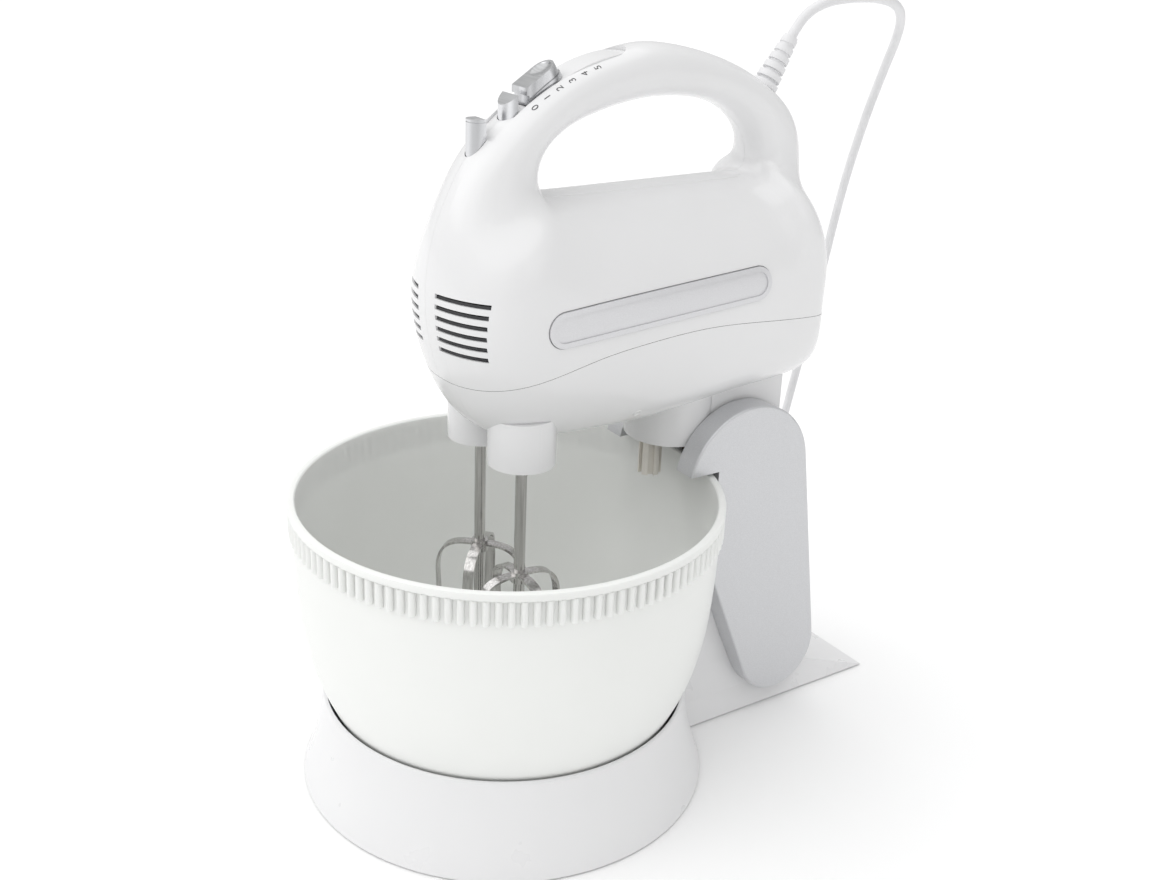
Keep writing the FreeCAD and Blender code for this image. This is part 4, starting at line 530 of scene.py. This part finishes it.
# how far a face's normal must lean the asked way
INWARD, FORWARD, UPWARD, LEVEL = 0.3, 0.2, 0.6, 0.9


def behind_vents(centre, normal):
    """The inner skin in the nose and at the rear, where the vents open onto it: painted dark as the shade
    inside the vents.
    """
    inward = normal.y * centre.y < -INWARD * abs(centre.y)
    return inward and abs(centre.y) > VENT_REACH and VENT_LOW_Z < centre.z < VENT_HIGH_Z


def slit_floor(centre, normal):
    """The lower wall of a narrow slit in the nose, painted dark as the shade in the slit."""
    depth = (VENT_HIGH_Z - centre.z) % VENT_PITCH
    return centre.y < -VENT_REACH and normal.z > LEVEL and SLIT_FLOOR[0] < depth < SLIT_FLOOR[1]


def slot_back(centre, normal):
    """The wall at the back of a slot in the nose, below its slit, painted dark as the shade in the slot."""
    row, depth = divmod(VENT_HIGH_Z - centre.z, VENT_PITCH)
    if not 0 <= row < VENT_ROWS or centre.y > -VENT_REACH or normal.y > -FORWARD:
        return False
    beside = VENT_LOW_X < abs(centre.x) < VENT_HIGH_X - row * VENT_STEP
    return beside and SLOT_BACK[0] < depth < SLOT_BACK[1]


def facing_up(centre, normal):
    """A face that looks up."""
    return normal.z > UPWARD


def parting_rim(centre, normal):
    """The top of the lower shell's wall, seen in the parting line, painted dark as the shade in the gap."""
    return facing_up(centre, normal) and PARTING_LOW_Z < centre.z < PARTING_HIGH_Z


# ---------------------------------------- meshes
CREASE = 50.0             # edges that turn by more degrees than this stay sharp
ON_AXIS = 1e-6            # a smaller radius is a point on the axis


def add_object(name, data):
    """A new object in the scene."""
    thing = bpy.data.objects.new(name, data)
    bpy.context.scene.collection.objects.link(thing)
    return thing


def new_piece(name, mesh, material, body):
    """A piece of the given mesh and finish that rides on a body."""
    piece = add_object(name, mesh)
    give_finish(piece, material)
    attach(piece, body)
    return piece


def smooth_by_angle(mesh, degrees=CREASE):
    """Shades a mesh smooth, apart from its sharper edges."""
    mesh.shade_smooth()
    mesh.set_sharp_from_angle(angle=math.radians(degrees))


def plain_mesh(piece):
    """The plain mesh that an object's curve, text or modifiers make."""
    return bpy.data.meshes.new_from_object(piece.evaluated_get(bpy.context.evaluated_depsgraph_get()))


def mesh_of(data):
    """The mesh that a curve or a text makes."""
    holder = add_object("holder", data)
    mesh = plain_mesh(holder)
    bpy.data.objects.remove(holder)
    return mesh


def mesh_from(shape, name):
    """Turns a bmesh into a mesh and frees it."""
    mesh = bpy.data.meshes.new(name)
    shape.to_mesh(mesh)
    shape.free()
    return mesh


def surface_of(name):
    """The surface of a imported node, for finding places on it."""
    return BVHTree.FromObject(frame["nodes"][name], bpy.context.evaluated_depsgraph_get())


def place_on(surface, start, direction, what):
    """Where a straight line from start meets the surface, and the surface's normal there."""
    place, normal, _, _ = surface.ray_cast(start, direction)
    if place is None:
        raise RuntimeError(what + " misses the shell under it")
    return place, normal


def lathe(name, profile, segments, centre=(0.0, 0.0)):
    """A mesh turned about a vertical axis: its (radius, height) points go up its outside."""
    shape = bmesh.new()
    rings = []
    for radius, height in profile:
        if radius < ON_AXIS:
            rings.append([shape.verts.new((centre[0], centre[1], height))])
            continue
        angles = [2 * math.pi * i / segments for i in range(segments)]
        rings.append([shape.verts.new((centre[0] + radius * math.cos(angle),
                                       centre[1] + radius * math.sin(angle), height)) for angle in angles])
    for low, high in zip(rings, rings[1:]):
        for i in range(segments):
            j = (i + 1) % segments
            corners = [low[i % len(low)], low[j % len(low)], high[j % len(high)], high[i % len(high)]]
            shape.faces.new(list(dict.fromkeys(corners)))
    return mesh_from(shape, name)


# ---------------------------------------- stage
# places and sizes in metres, apart from the sensor's width
SENSOR_WIDTH = 36.0       # in mm, as Blender wants it
KEY_PLACE, KEY_SIZE = (-0.5, -1.5, 1.5), 1.2
FILL_PLACE, FILL_SIZE = (1.7, 0.2, 0.9), 1.0
SKY_AIM, SKY_SPREAD = (0.15, 0.35, -1.0), math.radians(100.0)
WHITE = (1.0, 1.0, 1.0, 1.0)


def point_along(thing, direction, roll=0.0):
    """Turns a camera or a light so that it looks in a direction."""
    thing.rotation_mode = "QUATERNION"
    thing.rotation_quaternion = Vector(direction).to_track_quat("-Z", "Y") @ Quaternion((0, 0, 1), roll)


def add_light(name, kind, power):
    """A light without a place or an aim yet."""
    light = add_object(name, bpy.data.lights.new(name, kind))
    light.data.energy = power
    return light


def soft_light(name, place, aim, size, power):
    """A square light that looks at a point."""
    light = add_light(name, "AREA", power)
    light.data.size = size
    light.location = place
    point_along(light, Vector(aim) - Vector(place))


class MIXER_OT_stage(bpy.types.Operator):
    """Camera, lights, surround and floor"""

    bl_idname = "mixer.stage"
    bl_label = "Stage"

    def execute(self, context):
        sizes = settings().stage
        azimuth, elevation = sizes.azimuth, sizes.elevation
        back = Vector((math.sin(azimuth) * math.cos(elevation),
                       -math.cos(azimuth) * math.cos(elevation),
                       math.sin(elevation)))
        camera = add_object("Camera", bpy.data.cameras.new("Camera"))
        camera.data.sensor_width = SENSOR_WIDTH
        camera.data.lens = sizes.lens
        camera.location = Vector(sizes.target) + back * sizes.distance
        point_along(camera, -back, sizes.roll)
        context.scene.camera = camera

        half = sizes.floor_size / 2
        mesh = bpy.data.meshes.new("floor")
        corners = [(-half, -half, 0), (half, -half, 0), (half, half, 0), (-half, half, 0)]
        mesh.from_pydata(corners, [], [(0, 1, 2, 3)])
        floor = add_object("floor", mesh)
        give_finish(floor, floor_paper())

        world = bpy.data.worlds.new("Surround")
        world.use_nodes = True
        shader = world.node_tree.nodes["Background"]
        shader.inputs["Color"].default_value = WHITE
        shader.inputs["Strength"].default_value = sizes.world_strength
        context.scene.world = world
        middle = (CAD_BOX[0] + CAD_BOX[1]) / 2
        soft_light("Key", KEY_PLACE, middle, KEY_SIZE, sizes.key_power)
        soft_light("Fill", FILL_PLACE, middle, FILL_SIZE, sizes.fill_power)
        overhead = add_light("Overhead", "SUN", sizes.sky_power)
        overhead.data.angle = SKY_SPREAD
        point_along(overhead, SKY_AIM)
        context.scene.view_settings.view_transform = "Standard"
        return {"FINISHED"}


# ---------------------------------------- bowl
# outside of the bowl below the rim: (distance inside the rim's radius, height above the table)
BOWL_STEPS = ((0.0380, 0.022), (0.0280, 0.031), (0.0215, 0.041), (0.0170, 0.050), (0.0109, 0.065),
              (0.0066, 0.082), (0.0042, 0.098), (0.0027, 0.118), (0.0020, 0.136))
# the rim from the teeth's foot up, over the edge and in: a radius ("root" or "rim") and how far out
# of it, a height ("teeth", their top, or "top", the bowl's) and how far over it
RIM_SECTION = (
    ("root", 0.0, "teeth", -0.3 * MM),
    ("root", 0.3 * MM, "teeth", 0.0),
    ("rim", -0.4 * MM, "teeth", 0.0),
    ("rim", 0.0, "teeth", 0.4 * MM),
    ("rim", 0.0, "top", -1.2 * MM),
    ("rim", -0.35 * MM, "top", -0.35 * MM),
    ("rim", -1.2 * MM, "top", 0.0),
    ("root", -0.7 * MM, "top", 0.0),
    ("root", -1.3 * MM, "top", -0.6 * MM),
)
# lower end of a tooth: (share of half its width, height above its foot)
TOOTH_FOOT = ((0.0, 0.0), (0.6, 0.0), (0.9, 0.3 * MM), (1.0, 1.0 * MM))
TOOTH_ROOT = 0.4 * MM     # how deep a tooth's back lies in the wall
TOOTH_SEGMENTS = 14
BOWL_SEGMENTS = 240
BOWL_CREASE = 35.0        # in degrees
INSIDE_RISE = 0.3         # how much higher the inside's line lies, in walls
LINE_STEPS = 6            # steps of a smooth line between two of its points


def smooth_line(points):
    """Points on a curve that passes through the given (radius, height) points."""
    points = [Vector(p) for p in points]
    ends = [points[0] * 2 - points[1], *points, points[-1] * 2 - points[-2]]
    line = []
    for a, b, c, d in zip(ends, ends[1:], ends[2:], ends[3:]):
        for i in range(LINE_STEPS):
            t = i / LINE_STEPS
            line.append(0.5 * (2 * b + (c - a) * t + (2 * a - 5 * b + 4 * c - d) * t ** 2
                               + (3 * b - a - 3 * c + d) * t ** 3))
    return line + [points[-1]]


def bowl_profile(sizes, rim, low_z, top_z):
    """The bowl's section from its foot's middle round to the middle of the floor inside."""
    wall = sizes.wall
    foot = rim - sizes.foot_inset
    outside = smooth_line([(foot, low_z)] + [(rim - step, z) for step, z in BOWL_STEPS])
    inside = smooth_line([(rim - step - wall, z + wall * INSIDE_RISE) for step, z in BOWL_STEPS[::-1]]
                         + [(foot - wall, low_z + wall)])
    tooth_top = top_z - sizes.band
    radii = {"root": rim - sizes.tooth_depth, "rim": rim}
    heights = {"teeth": tooth_top, "top": top_z}
    over_rim = [(radii["root"], tooth_top - sizes.tooth_height)]
    over_rim += [(radii[edge] + out, heights[level] + up) for edge, out, level, up in RIM_SECTION]
    line = [(0.0, low_z), *outside, *over_rim, *inside, (0.0, low_z + wall)]
    return [tuple(point) for point in line]


def toothed_rim_tree(sizes, rib, material, radius, middle_z):
    """Nodes that set the teeth around the rim of the mesh they are given."""
    tree = bpy.data.node_groups.new("Toothed rim", "GeometryNodeTree")
    tree.interface.new_socket("Geometry", in_out="INPUT", socket_type="NodeSocketGeometry")
    tree.interface.new_socket("Geometry", in_out="OUTPUT", socket_type="NodeSocketGeometry")
    named = {"Teeth": ("NodeSocketInt", sizes.teeth), "Radius": ("NodeSocketFloat", radius),
             "Height": ("NodeSocketFloat", middle_z), "Rib": ("NodeSocketObject", rib),
             "Centre": ("NodeSocketVector", BOWL_AXIS), "Material": ("NodeSocketMaterial", material)}
    sockets = {name: tree.interface.new_socket(name, in_out="INPUT", socket_type=kind)
               for name, (kind, _) in named.items()}
    node = {name: tree.nodes.new(kind) for name, kind in (
        ("in", "NodeGroupInput"), ("circle", "GeometryNodeMeshCircle"), ("rib", "GeometryNodeObjectInfo"),
        ("index", "GeometryNodeInputIndex"), ("step", "ShaderNodeMath"), ("turn", "ShaderNodeMath"),
        ("rotation", "ShaderNodeCombineXYZ"), ("place", "GeometryNodeInstanceOnPoints"),
        ("lift", "ShaderNodeCombineXYZ"), ("sum", "ShaderNodeVectorMath"),
        ("move", "GeometryNodeTransform"), ("real", "GeometryNodeRealizeInstances"),
        ("join", "GeometryNodeJoinGeometry"), ("paint", "GeometryNodeSetMaterial"),
        ("out", "NodeGroupOutput"))}
    node["step"].operation = "DIVIDE"
    node["step"].inputs[0].default_value = 2 * math.pi
    node["turn"].operation = "MULTIPLY"
    given = node["in"].outputs
    for out, into in (
            (given["Teeth"], node["circle"].inputs["Vertices"]),
            (given["Radius"], node["circle"].inputs["Radius"]),
            (given["Rib"], node["rib"].inputs["Object"]),
            (given["Teeth"], node["step"].inputs[1]),
            (node["index"].outputs[0], node["turn"].inputs[0]),
            (node["step"].outputs[0], node["turn"].inputs[1]),
            (node["turn"].outputs[0], node["rotation"].inputs["Z"]),
            (node["circle"].outputs["Mesh"], node["place"].inputs["Points"]),
            (node["rib"].outputs["Geometry"], node["place"].inputs["Instance"]),
            (node["rotation"].outputs[0], node["place"].inputs["Rotation"]),
            (given["Height"], node["lift"].inputs["Z"]),
            (given["Centre"], node["sum"].inputs[0]),
            (node["lift"].outputs[0], node["sum"].inputs[1]),
            (node["sum"].outputs[0], node["move"].inputs["Translation"]),
            (node["place"].outputs["Instances"], node["move"].inputs["Geometry"]),
            (node["move"].outputs["Geometry"], node["real"].inputs["Geometry"]),
            (node["real"].outputs["Geometry"], node["join"].inputs["Geometry"]),
            (given["Geometry"], node["join"].inputs["Geometry"]),
            (node["join"].outputs["Geometry"], node["paint"].inputs["Geometry"]),
            (given["Material"], node["paint"].inputs["Material"]),
            (node["paint"].outputs["Geometry"], node["out"].inputs["Geometry"])):
        tree.links.new(out, into)
    return tree, {sockets[name].identifier: value for name, (_, value) in named.items()}


class MIXER_OT_bowl(bpy.types.Operator):
    """The bowl with its soft-edged teeth"""

    bl_idname = "mixer.bowl"
    bl_label = "Bowl"

    def execute(self, context):
        sizes = settings().bowl
        rim = (BOWL_HIGH[0] - BOWL_LOW[0]) / 2
        profile = bowl_profile(sizes, rim, BOWL_LOW[2], BOWL_HIGH[2])
        shell = add_object("bowl_shell", lathe("bowl_shell", profile, BOWL_SEGMENTS, BOWL_AXIS))
        half = sizes.tooth_height / 2
        across = sizes.tooth_width / 2
        foot = [(share * across, -half + up) for share, up in TOOTH_FOOT]
        rib_mesh = lathe("rib", foot + [(across, half), (0.0, half)], TOOTH_SEGMENTS)
        for vert in rib_mesh.vertices:
            vert.co.x = max(vert.co.x * sizes.tooth_depth / across, -TOOTH_ROOT)
        rib = add_object("rib", rib_mesh)
        material = bpy.data.materials["Bowl plastic"]
        middle_z = BOWL_HIGH[2] - sizes.band - half
        tree, values = toothed_rim_tree(sizes, rib, material, rim - sizes.tooth_depth, middle_z)
        modifier = shell.modifiers.new("Toothed rim", "NODES")
        modifier.node_group = tree
        for identifier, value in values.items():
            modifier[identifier] = value
        context.view_layer.update()
        mesh = plain_mesh(shell)
        for piece in (shell, rib):
            bpy.data.objects.remove(piece)
        smooth_by_angle(mesh, BOWL_CREASE)
        bowl = new_piece("mixing_bowl", mesh, material, "bowl")
        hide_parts("bowl")
        return {"FINISHED"}


# ---------------------------------------- cord
# The lead's line from the gland on, in metres: it hangs from the gland, falls behind the column and
# lies on the table up to the coil.
CORD_ROUTE = (
    (0.0, 0.09987, 0.37520),
    (0.0, 0.1043, 0.3821),
    (0.0, 0.1120, 0.3882),
    (0.0, 0.1230, 0.3920),
    (0.0, 0.1390, 0.3936),
    (-0.0020, 0.1590, 0.3930),
    (-0.0070, 0.1780, 0.3895),
    (-0.0160, 0.1940, 0.3820),
    (-0.0300, 0.2070, 0.3680),
    (-0.0470, 0.2160, 0.3460),
    (-0.0620, 0.2200, 0.3140),
    (-0.0740, 0.2200, 0.2710),
    (-0.0810, 0.2170, 0.2170),
    (-0.0850, 0.2100, 0.1610),
    (-0.0880, 0.2010, 0.1070),
    (-0.0920, 0.1930, 0.0630),
    (-0.0970, 0.1830, 0.0310),
    (-0.1060, 0.1690, 0.0110),
    (-0.1160, 0.1500, 0.0032),
    (-0.1270, 0.1270, 0.0029),
    (-0.1340, 0.0970, 0.0028),
)
PLUG_LEAD = 8 * MM        # straight run in front of the plug
PLUG_GRIP = 2 * MM        # how far the lead goes into the plug
LAYER_LIFT = 0.52         # middle of the coil's lowest layer above the table, in diameters
SHIFTS_PER_TURN = 3       # the lead moves to its next row within a third of a turn
LEAD_STEPS = 8            # steps between two control points
LEAD_ROUNDNESS = 4        # Blender's measure of the sides of its section


def coil_points(sizes, centre, outer_radius):
    """Turns wound down the coil from its right side: out and in, two layers high."""
    rows = ((outer_radius, 0), (outer_radius - sizes.diameter, 0),
            (outer_radius - sizes.diameter, 1), (outer_radius, 1))
    count = sizes.points_per_turn
    points = []
    for i in range(sizes.turns * count + 1):
        turn = i / count
        here = rows[min(int(turn), sizes.turns - 1) % len(rows)]
        before = rows[max(int(turn) - 1, 0) % len(rows)]
        share = min(1.0, (turn % 1.0) * SHIFTS_PER_TURN) if 0 < turn < sizes.turns else 1.0
        radius = before[0] + (here[0] - before[0]) * share
        level = before[1] + (here[1] - before[1]) * share
        angle = -2 * math.pi * turn
        points.append(Vector((centre.x + radius * math.cos(angle),
                              centre.y + radius * math.sin(angle),
                              sizes.diameter * (LAYER_LIFT + level))))
    return points


def lead_curve(points):
    """A smooth NURBS curve through the lead's route and coil."""
    curve = bpy.data.curves.new("lead_line", "CURVE")
    curve.dimensions = "3D"
    spline = curve.splines.new("NURBS")
    spline.points.add(len(points) - 1)
    for control, point in zip(spline.points, points):
        control.co = (*point, 1.0)
    spline.order_u = 3
    spline.use_endpoint_u = True
    curve.resolution_u = LEAD_STEPS
    curve.bevel_resolution = LEAD_ROUNDNESS
    curve.use_fill_caps = True
    return curve


class MIXER_OT_cord(bpy.types.Operator):
    """The mains lead with its stored coil"""

    bl_idname = "mixer.cord"
    bl_label = "Cord"

    def execute(self, context):
        sizes = settings().cord
        low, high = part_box("cord_coil")
        centre = (Vector(low) + Vector(high)) / 2
        outer_radius = (high[0] - low[0]) / 2 - sizes.diameter / 2
        plug_low, plug_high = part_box("plug_body")
        plug_x = (plug_low[0] + plug_high[0]) / 2
        plug_z = (plug_low[2] + plug_high[2]) / 2
        points = [Vector(p) for p in CORD_ROUTE] + coil_points(sizes, centre, outer_radius)
        for ahead in (PLUG_LEAD, -PLUG_GRIP):
            points.append(Vector((plug_x, plug_high[1] + ahead, plug_z)))
        line = lead_curve(points)
        line.bevel_depth = 0.0
        path = [vert.co.copy() for vert in mesh_of(line).vertices]
        line.bevel_depth = sizes.diameter / 2
        mesh = mesh_of(line)
        mesh.shade_smooth()
        lead = add_object("mains_lead", mesh)
        give_finish(lead, bpy.data.materials["Cord jacket"])
        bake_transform(lead)
        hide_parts("power_cord", "cord_coil")
        return {"FINISHED"}


# ---------------------------------------- scale on the handle
SPEEDS = 6                # the numbers 0 to 5
BOW_RADIUS = 0.0895       # the handle's bow, about the slider's axis
SEARCH_LIFT = 0.03        # above the bow, where the search for the handle's surface starts
FONT_RATIO = 1.4          # a font's size to its digits' height
INK_LIFT = 0.08 * MM      # keeps the ink clear of the shell


class MIXER_OT_scale(bpy.types.Operator):
    """The printed numbers beside the slider"""

    bl_idname = "mixer.scale"
    bl_label = "Speed numbers"

    def execute(self, context):
        sizes = settings().scale
        joint = next(j for j in frame["joints"] if j["name"] == "speed_select")
        centre = Vector(joint["pos_m"])
        surface = surface_of("upper_housing_right")
        joined = bmesh.new()
        for number in range(SPEEDS):
            angle = sizes.first_angle - number * sizes.step_angle
            offset = sizes.offset - number * sizes.drift
            text = bpy.data.curves.new("digit", "FONT")
            text.body = str(number)
            text.size = sizes.height * FONT_RATIO
            text.align_x = "CENTER"
            text.align_y = "CENTER"
            digit = bmesh.new()
            digit.from_mesh(mesh_of(text))
            bmesh.ops.triangulate(digit, faces=digit.faces)
            for vert in digit.verts:
                turned = angle + vert.co.y / BOW_RADIUS
                outward = Vector((0, math.cos(turned), math.sin(turned)))
                above = centre + outward * (BOW_RADIUS + SEARCH_LIFT)
                above.x = offset - vert.co.x * math.cos(sizes.slope)
                place, normal = place_on(surface, above, -outward, "a printed number")
                vert.co = place + normal * INK_LIFT
            joined.from_mesh(mesh_from(digit, "digit"))
        new_piece("speed_numbers", mesh_from(joined, "speed_numbers"), printed_ink(), "head")
        return {"FINISHED"}


# ---------------------------------------- lip
LIP_STEPS = 10            # steps of the lip's section, each side
LIP_SQUARENESS = 8.0      # the higher, the flatter the lip's top and the tighter its edges
LIP_ROOT = 2 * MM         # how deep the lip's foot lies in the floor


class MIXER_OT_lip(bpy.types.Operator):
    """The raised lip along the floor of the finger gap"""

    bl_idname = "mixer.lip"
    bl_label = "Gap lip"

    def execute(self, context):
        sizes = settings().lip
        half = []
        for step in range(LIP_STEPS + 1):
            x = sizes.half_width * math.sin(math.pi / 2 * step / LIP_STEPS)
            share = x / sizes.half_width
            edge = math.sqrt(max(0.0, 1.0 - share ** LIP_SQUARENESS))
            half.append((x, sizes.floor_z - sizes.fall * share ** 2 + sizes.lift * (2 * edge - 1.0)))
        foot_z = sizes.floor_z - LIP_ROOT
        outline = [(-x, z) for x, z in reversed(half[1:])] + half
        outline += [(sizes.half_width, foot_z), (-sizes.half_width, foot_z)]
        lip = bmesh.new()
        front, rear = [[lip.verts.new((x, y, z)) for x, z in outline] for y in (sizes.front, sizes.rear)]
        for i in range(len(outline)):
            j = (i + 1) % len(outline)
            lip.faces.new((front[i], front[j], rear[j], rear[i]))
        lip.faces.new(front[::-1])
        lip.faces.new(rear)
        bmesh.ops.recalc_face_normals(lip, faces=lip.faces)
        mesh = mesh_from(lip, "gap_lip")
        smooth_by_angle(mesh)
        new_piece("gap_lip", mesh, bpy.data.materials["Glossy shell"], "head")
        return {"FINISHED"}


# ---------------------------------------- screw recesses
RECESS_SEGMENTS = 32
RECESS_START_X = 80 * MM  # outside the shell, where the search for its surface starts
RECESS_Y = -9.5 * MM
RECESS_Z = 201.9 * MM
RECESS_FLOOR_R = 1.35 * MM  # inside it, the recess is shaded
# from the middle of the underside round to the middle of the dished top: (radius, height)
RECESS_PROFILE = ((0.0, -0.4 * MM), (2.6 * MM, -0.4 * MM), (2.3 * MM, 0.2 * MM), (2.0 * MM, 0.32 * MM),
                  (1.75 * MM, 0.28 * MM), (1.4 * MM, 0.07 * MM), (1.3 * MM, 0.05 * MM), (0.0, 0.05 * MM))


class MIXER_OT_recess(bpy.types.Operator):
    """The small round screw recesses beside the hood"""

    bl_idname = "mixer.recess"
    bl_label = "Screw recesses"

    def execute(self, context):
        surface = surface_of("lower_housing")
        joined = bmesh.new()
        for side in (-1, 1):
            start = Vector((side * RECESS_START_X, RECESS_Y, RECESS_Z))
            place, normal = place_on(surface, start, Vector((-side, 0, 0)), "a screw recess")
            ring = lathe("recess", RECESS_PROFILE, RECESS_SEGMENTS)
            for face in ring.polygons:
                if face.center.z > 0 and face.center.xy.length < RECESS_FLOOR_R:
                    face.material_index = 1
            ring.transform(Matrix.Translation(place) @ normal.to_track_quat("Z", "Y").to_matrix().to_4x4())
            joined.from_mesh(ring)
        mesh = mesh_from(joined, "screw_recesses")
        smooth_by_angle(mesh)
        piece = new_piece("screw_recesses", mesh, bpy.data.materials["Glossy shell"], "head")
        piece.data.materials.append(recess_shadow())
        return {"FINISHED"}


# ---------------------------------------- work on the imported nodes
# the width of the moulded pieces' soft edges
SOFT_EDGES = (
    (0.2 * MM, ("lower_housing",)),
    (0.5 * MM, ("base_shell", "cradle")),
    (0.25 * MM, ("side_panel_right", "side_panel_left", "speed_slider", "turbo_button", "eject_plunger")),
)
EDGE_SEGMENTS = 2
EDGE_ANGLE = math.radians(40.0)  # a blunter edge stays as it is
CLOSED_SHARE = 0.15       # a spring that would be pressed to less of its length than this gets no mesh of its own


class MIXER_OT_edges(bpy.types.Operator):
    """Rounds the edges of the moulded pieces"""

    bl_idname = "mixer.edges"
    bl_label = "Soft edges"

    def execute(self, context):
        for width, names in SOFT_EDGES:
            for name in names:
                bevel = frame["nodes"][name].modifiers.new("Soft edges", "BEVEL")
                bevel.width = width
                bevel.segments = EDGE_SEGMENTS
                bevel.limit_method = "ANGLE"
                bevel.angle_limit = EDGE_ANGLE
                bevel.harden_normals = True
        return {"FINISHED"}


class MIXER_OT_finishes(bpy.types.Operator):
    """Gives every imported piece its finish"""

    bl_idname = "mixer.finishes"
    bl_label = "Finishes"

    def execute(self, context):
        for make, names in NODE_FINISHES:
            material = make()
            for name in names:
                give_finish(frame["nodes"][name], material)
        dark_top = switch_paint()
        for name in ("speed_slider", "turbo_button"):
            paint_where(frame["nodes"][name], dark_top, facing_up)
        # painted shade: faces of the white shells inside the vents and slits get a dark finish where shade
        # falls
        shadow = dark_moulding()
        for name in ("upper_housing_right", "upper_housing_left"):
            for test in (behind_vents, slit_floor, slot_back):
                paint_where(frame["nodes"][name], shadow, test)
        # painted shade: the lower shell's white rim in the parting gap is painted dark
        paint_where(frame["nodes"]["lower_housing"], shadow, parting_rim)
        for name, dark, light, low, high, nodes in BARE_METALS:
            material = metal_like(name, dark, light, low, high)
            for node in nodes:
                give_finish(frame["nodes"][node], material)
        return {"FINISHED"}


class MIXER_OT_springs(bpy.types.Operator):
    """Gives each return spring that is long enough a mesh of its own"""

    bl_idname = "mixer.springs"
    bl_label = "Springs"

    def execute(self, context):
        for joint in frame["joints"]:
            if joint["type"] != "slide":
                continue
            for row in joint.get("deforming_nodes", ()):
                low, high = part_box(row["node"])
                axis = Vector(joint["axis"])
                half = abs((high - low).dot(axis)) / 2
                keep = 1 - joint["range_m"][1] / (2 * half)
                if keep < CLOSED_SHARE:
                    continue
                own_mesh(frame["nodes"][row["node"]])
        return {"FINISHED"}


# ---------------------------------------- add-on
OPERATORS = (MIXER_OT_finishes, MIXER_OT_stage, MIXER_OT_cord, MIXER_OT_bowl, MIXER_OT_scale, MIXER_OT_lip,
             MIXER_OT_recess, MIXER_OT_edges, MIXER_OT_springs)


class MixerSettings(bpy.types.PropertyGroup):
    """Everything a user may change."""

    stage: PointerProperty(type=MixerStageSizes)
    bowl: PointerProperty(type=MixerBowlSizes)
    cord: PointerProperty(type=MixerCordSizes)
    scale: PointerProperty(type=MixerScaleSizes)
    lip: PointerProperty(type=MixerLipSizes)
    colours: PointerProperty(type=MixerColours)


class MIXER_PT_panel(bpy.types.Panel):
    """Sidebar panel with one button for each piece"""

    bl_label = "Stand mixer"
    bl_space_type = "VIEW_3D"
    bl_region_type = "UI"
    bl_category = "Mixer"

    def draw(self, context):
        for operator in OPERATORS:
            self.layout.operator(operator.bl_idname)
        for group in ("stage", "bowl", "cord", "scale", "lip", "colours"):
            values = getattr(context.scene.mixer, group)
            for name in values.bl_rna.properties.keys():
                if name not in ("rna_type", "name"):
                    self.layout.prop(values, name)


CLASSES = (MixerStageSizes, MixerBowlSizes, MixerCordSizes, MixerScaleSizes, MixerLipSizes, MixerColours,
           MixerSettings, *OPERATORS, MIXER_PT_panel)


def register():
    for cls in CLASSES:
        bpy.utils.register_class(cls)
    bpy.types.Scene.mixer = PointerProperty(type=MixerSettings)


def unregister():
    del bpy.types.Scene.mixer
    for cls in reversed(CLASSES):
        bpy.utils.unregister_class(cls)


def main():
    register()
    bpy.ops.mixer.finishes()
    bpy.ops.mixer.stage()
    bpy.ops.mixer.cord()
    bpy.ops.mixer.bowl()
    bpy.ops.mixer.scale()
    bpy.ops.mixer.lip()
    bpy.ops.mixer.recess()
    bpy.ops.mixer.edges()
    bpy.ops.mixer.springs()


if __name__ == "__main__":
    main()
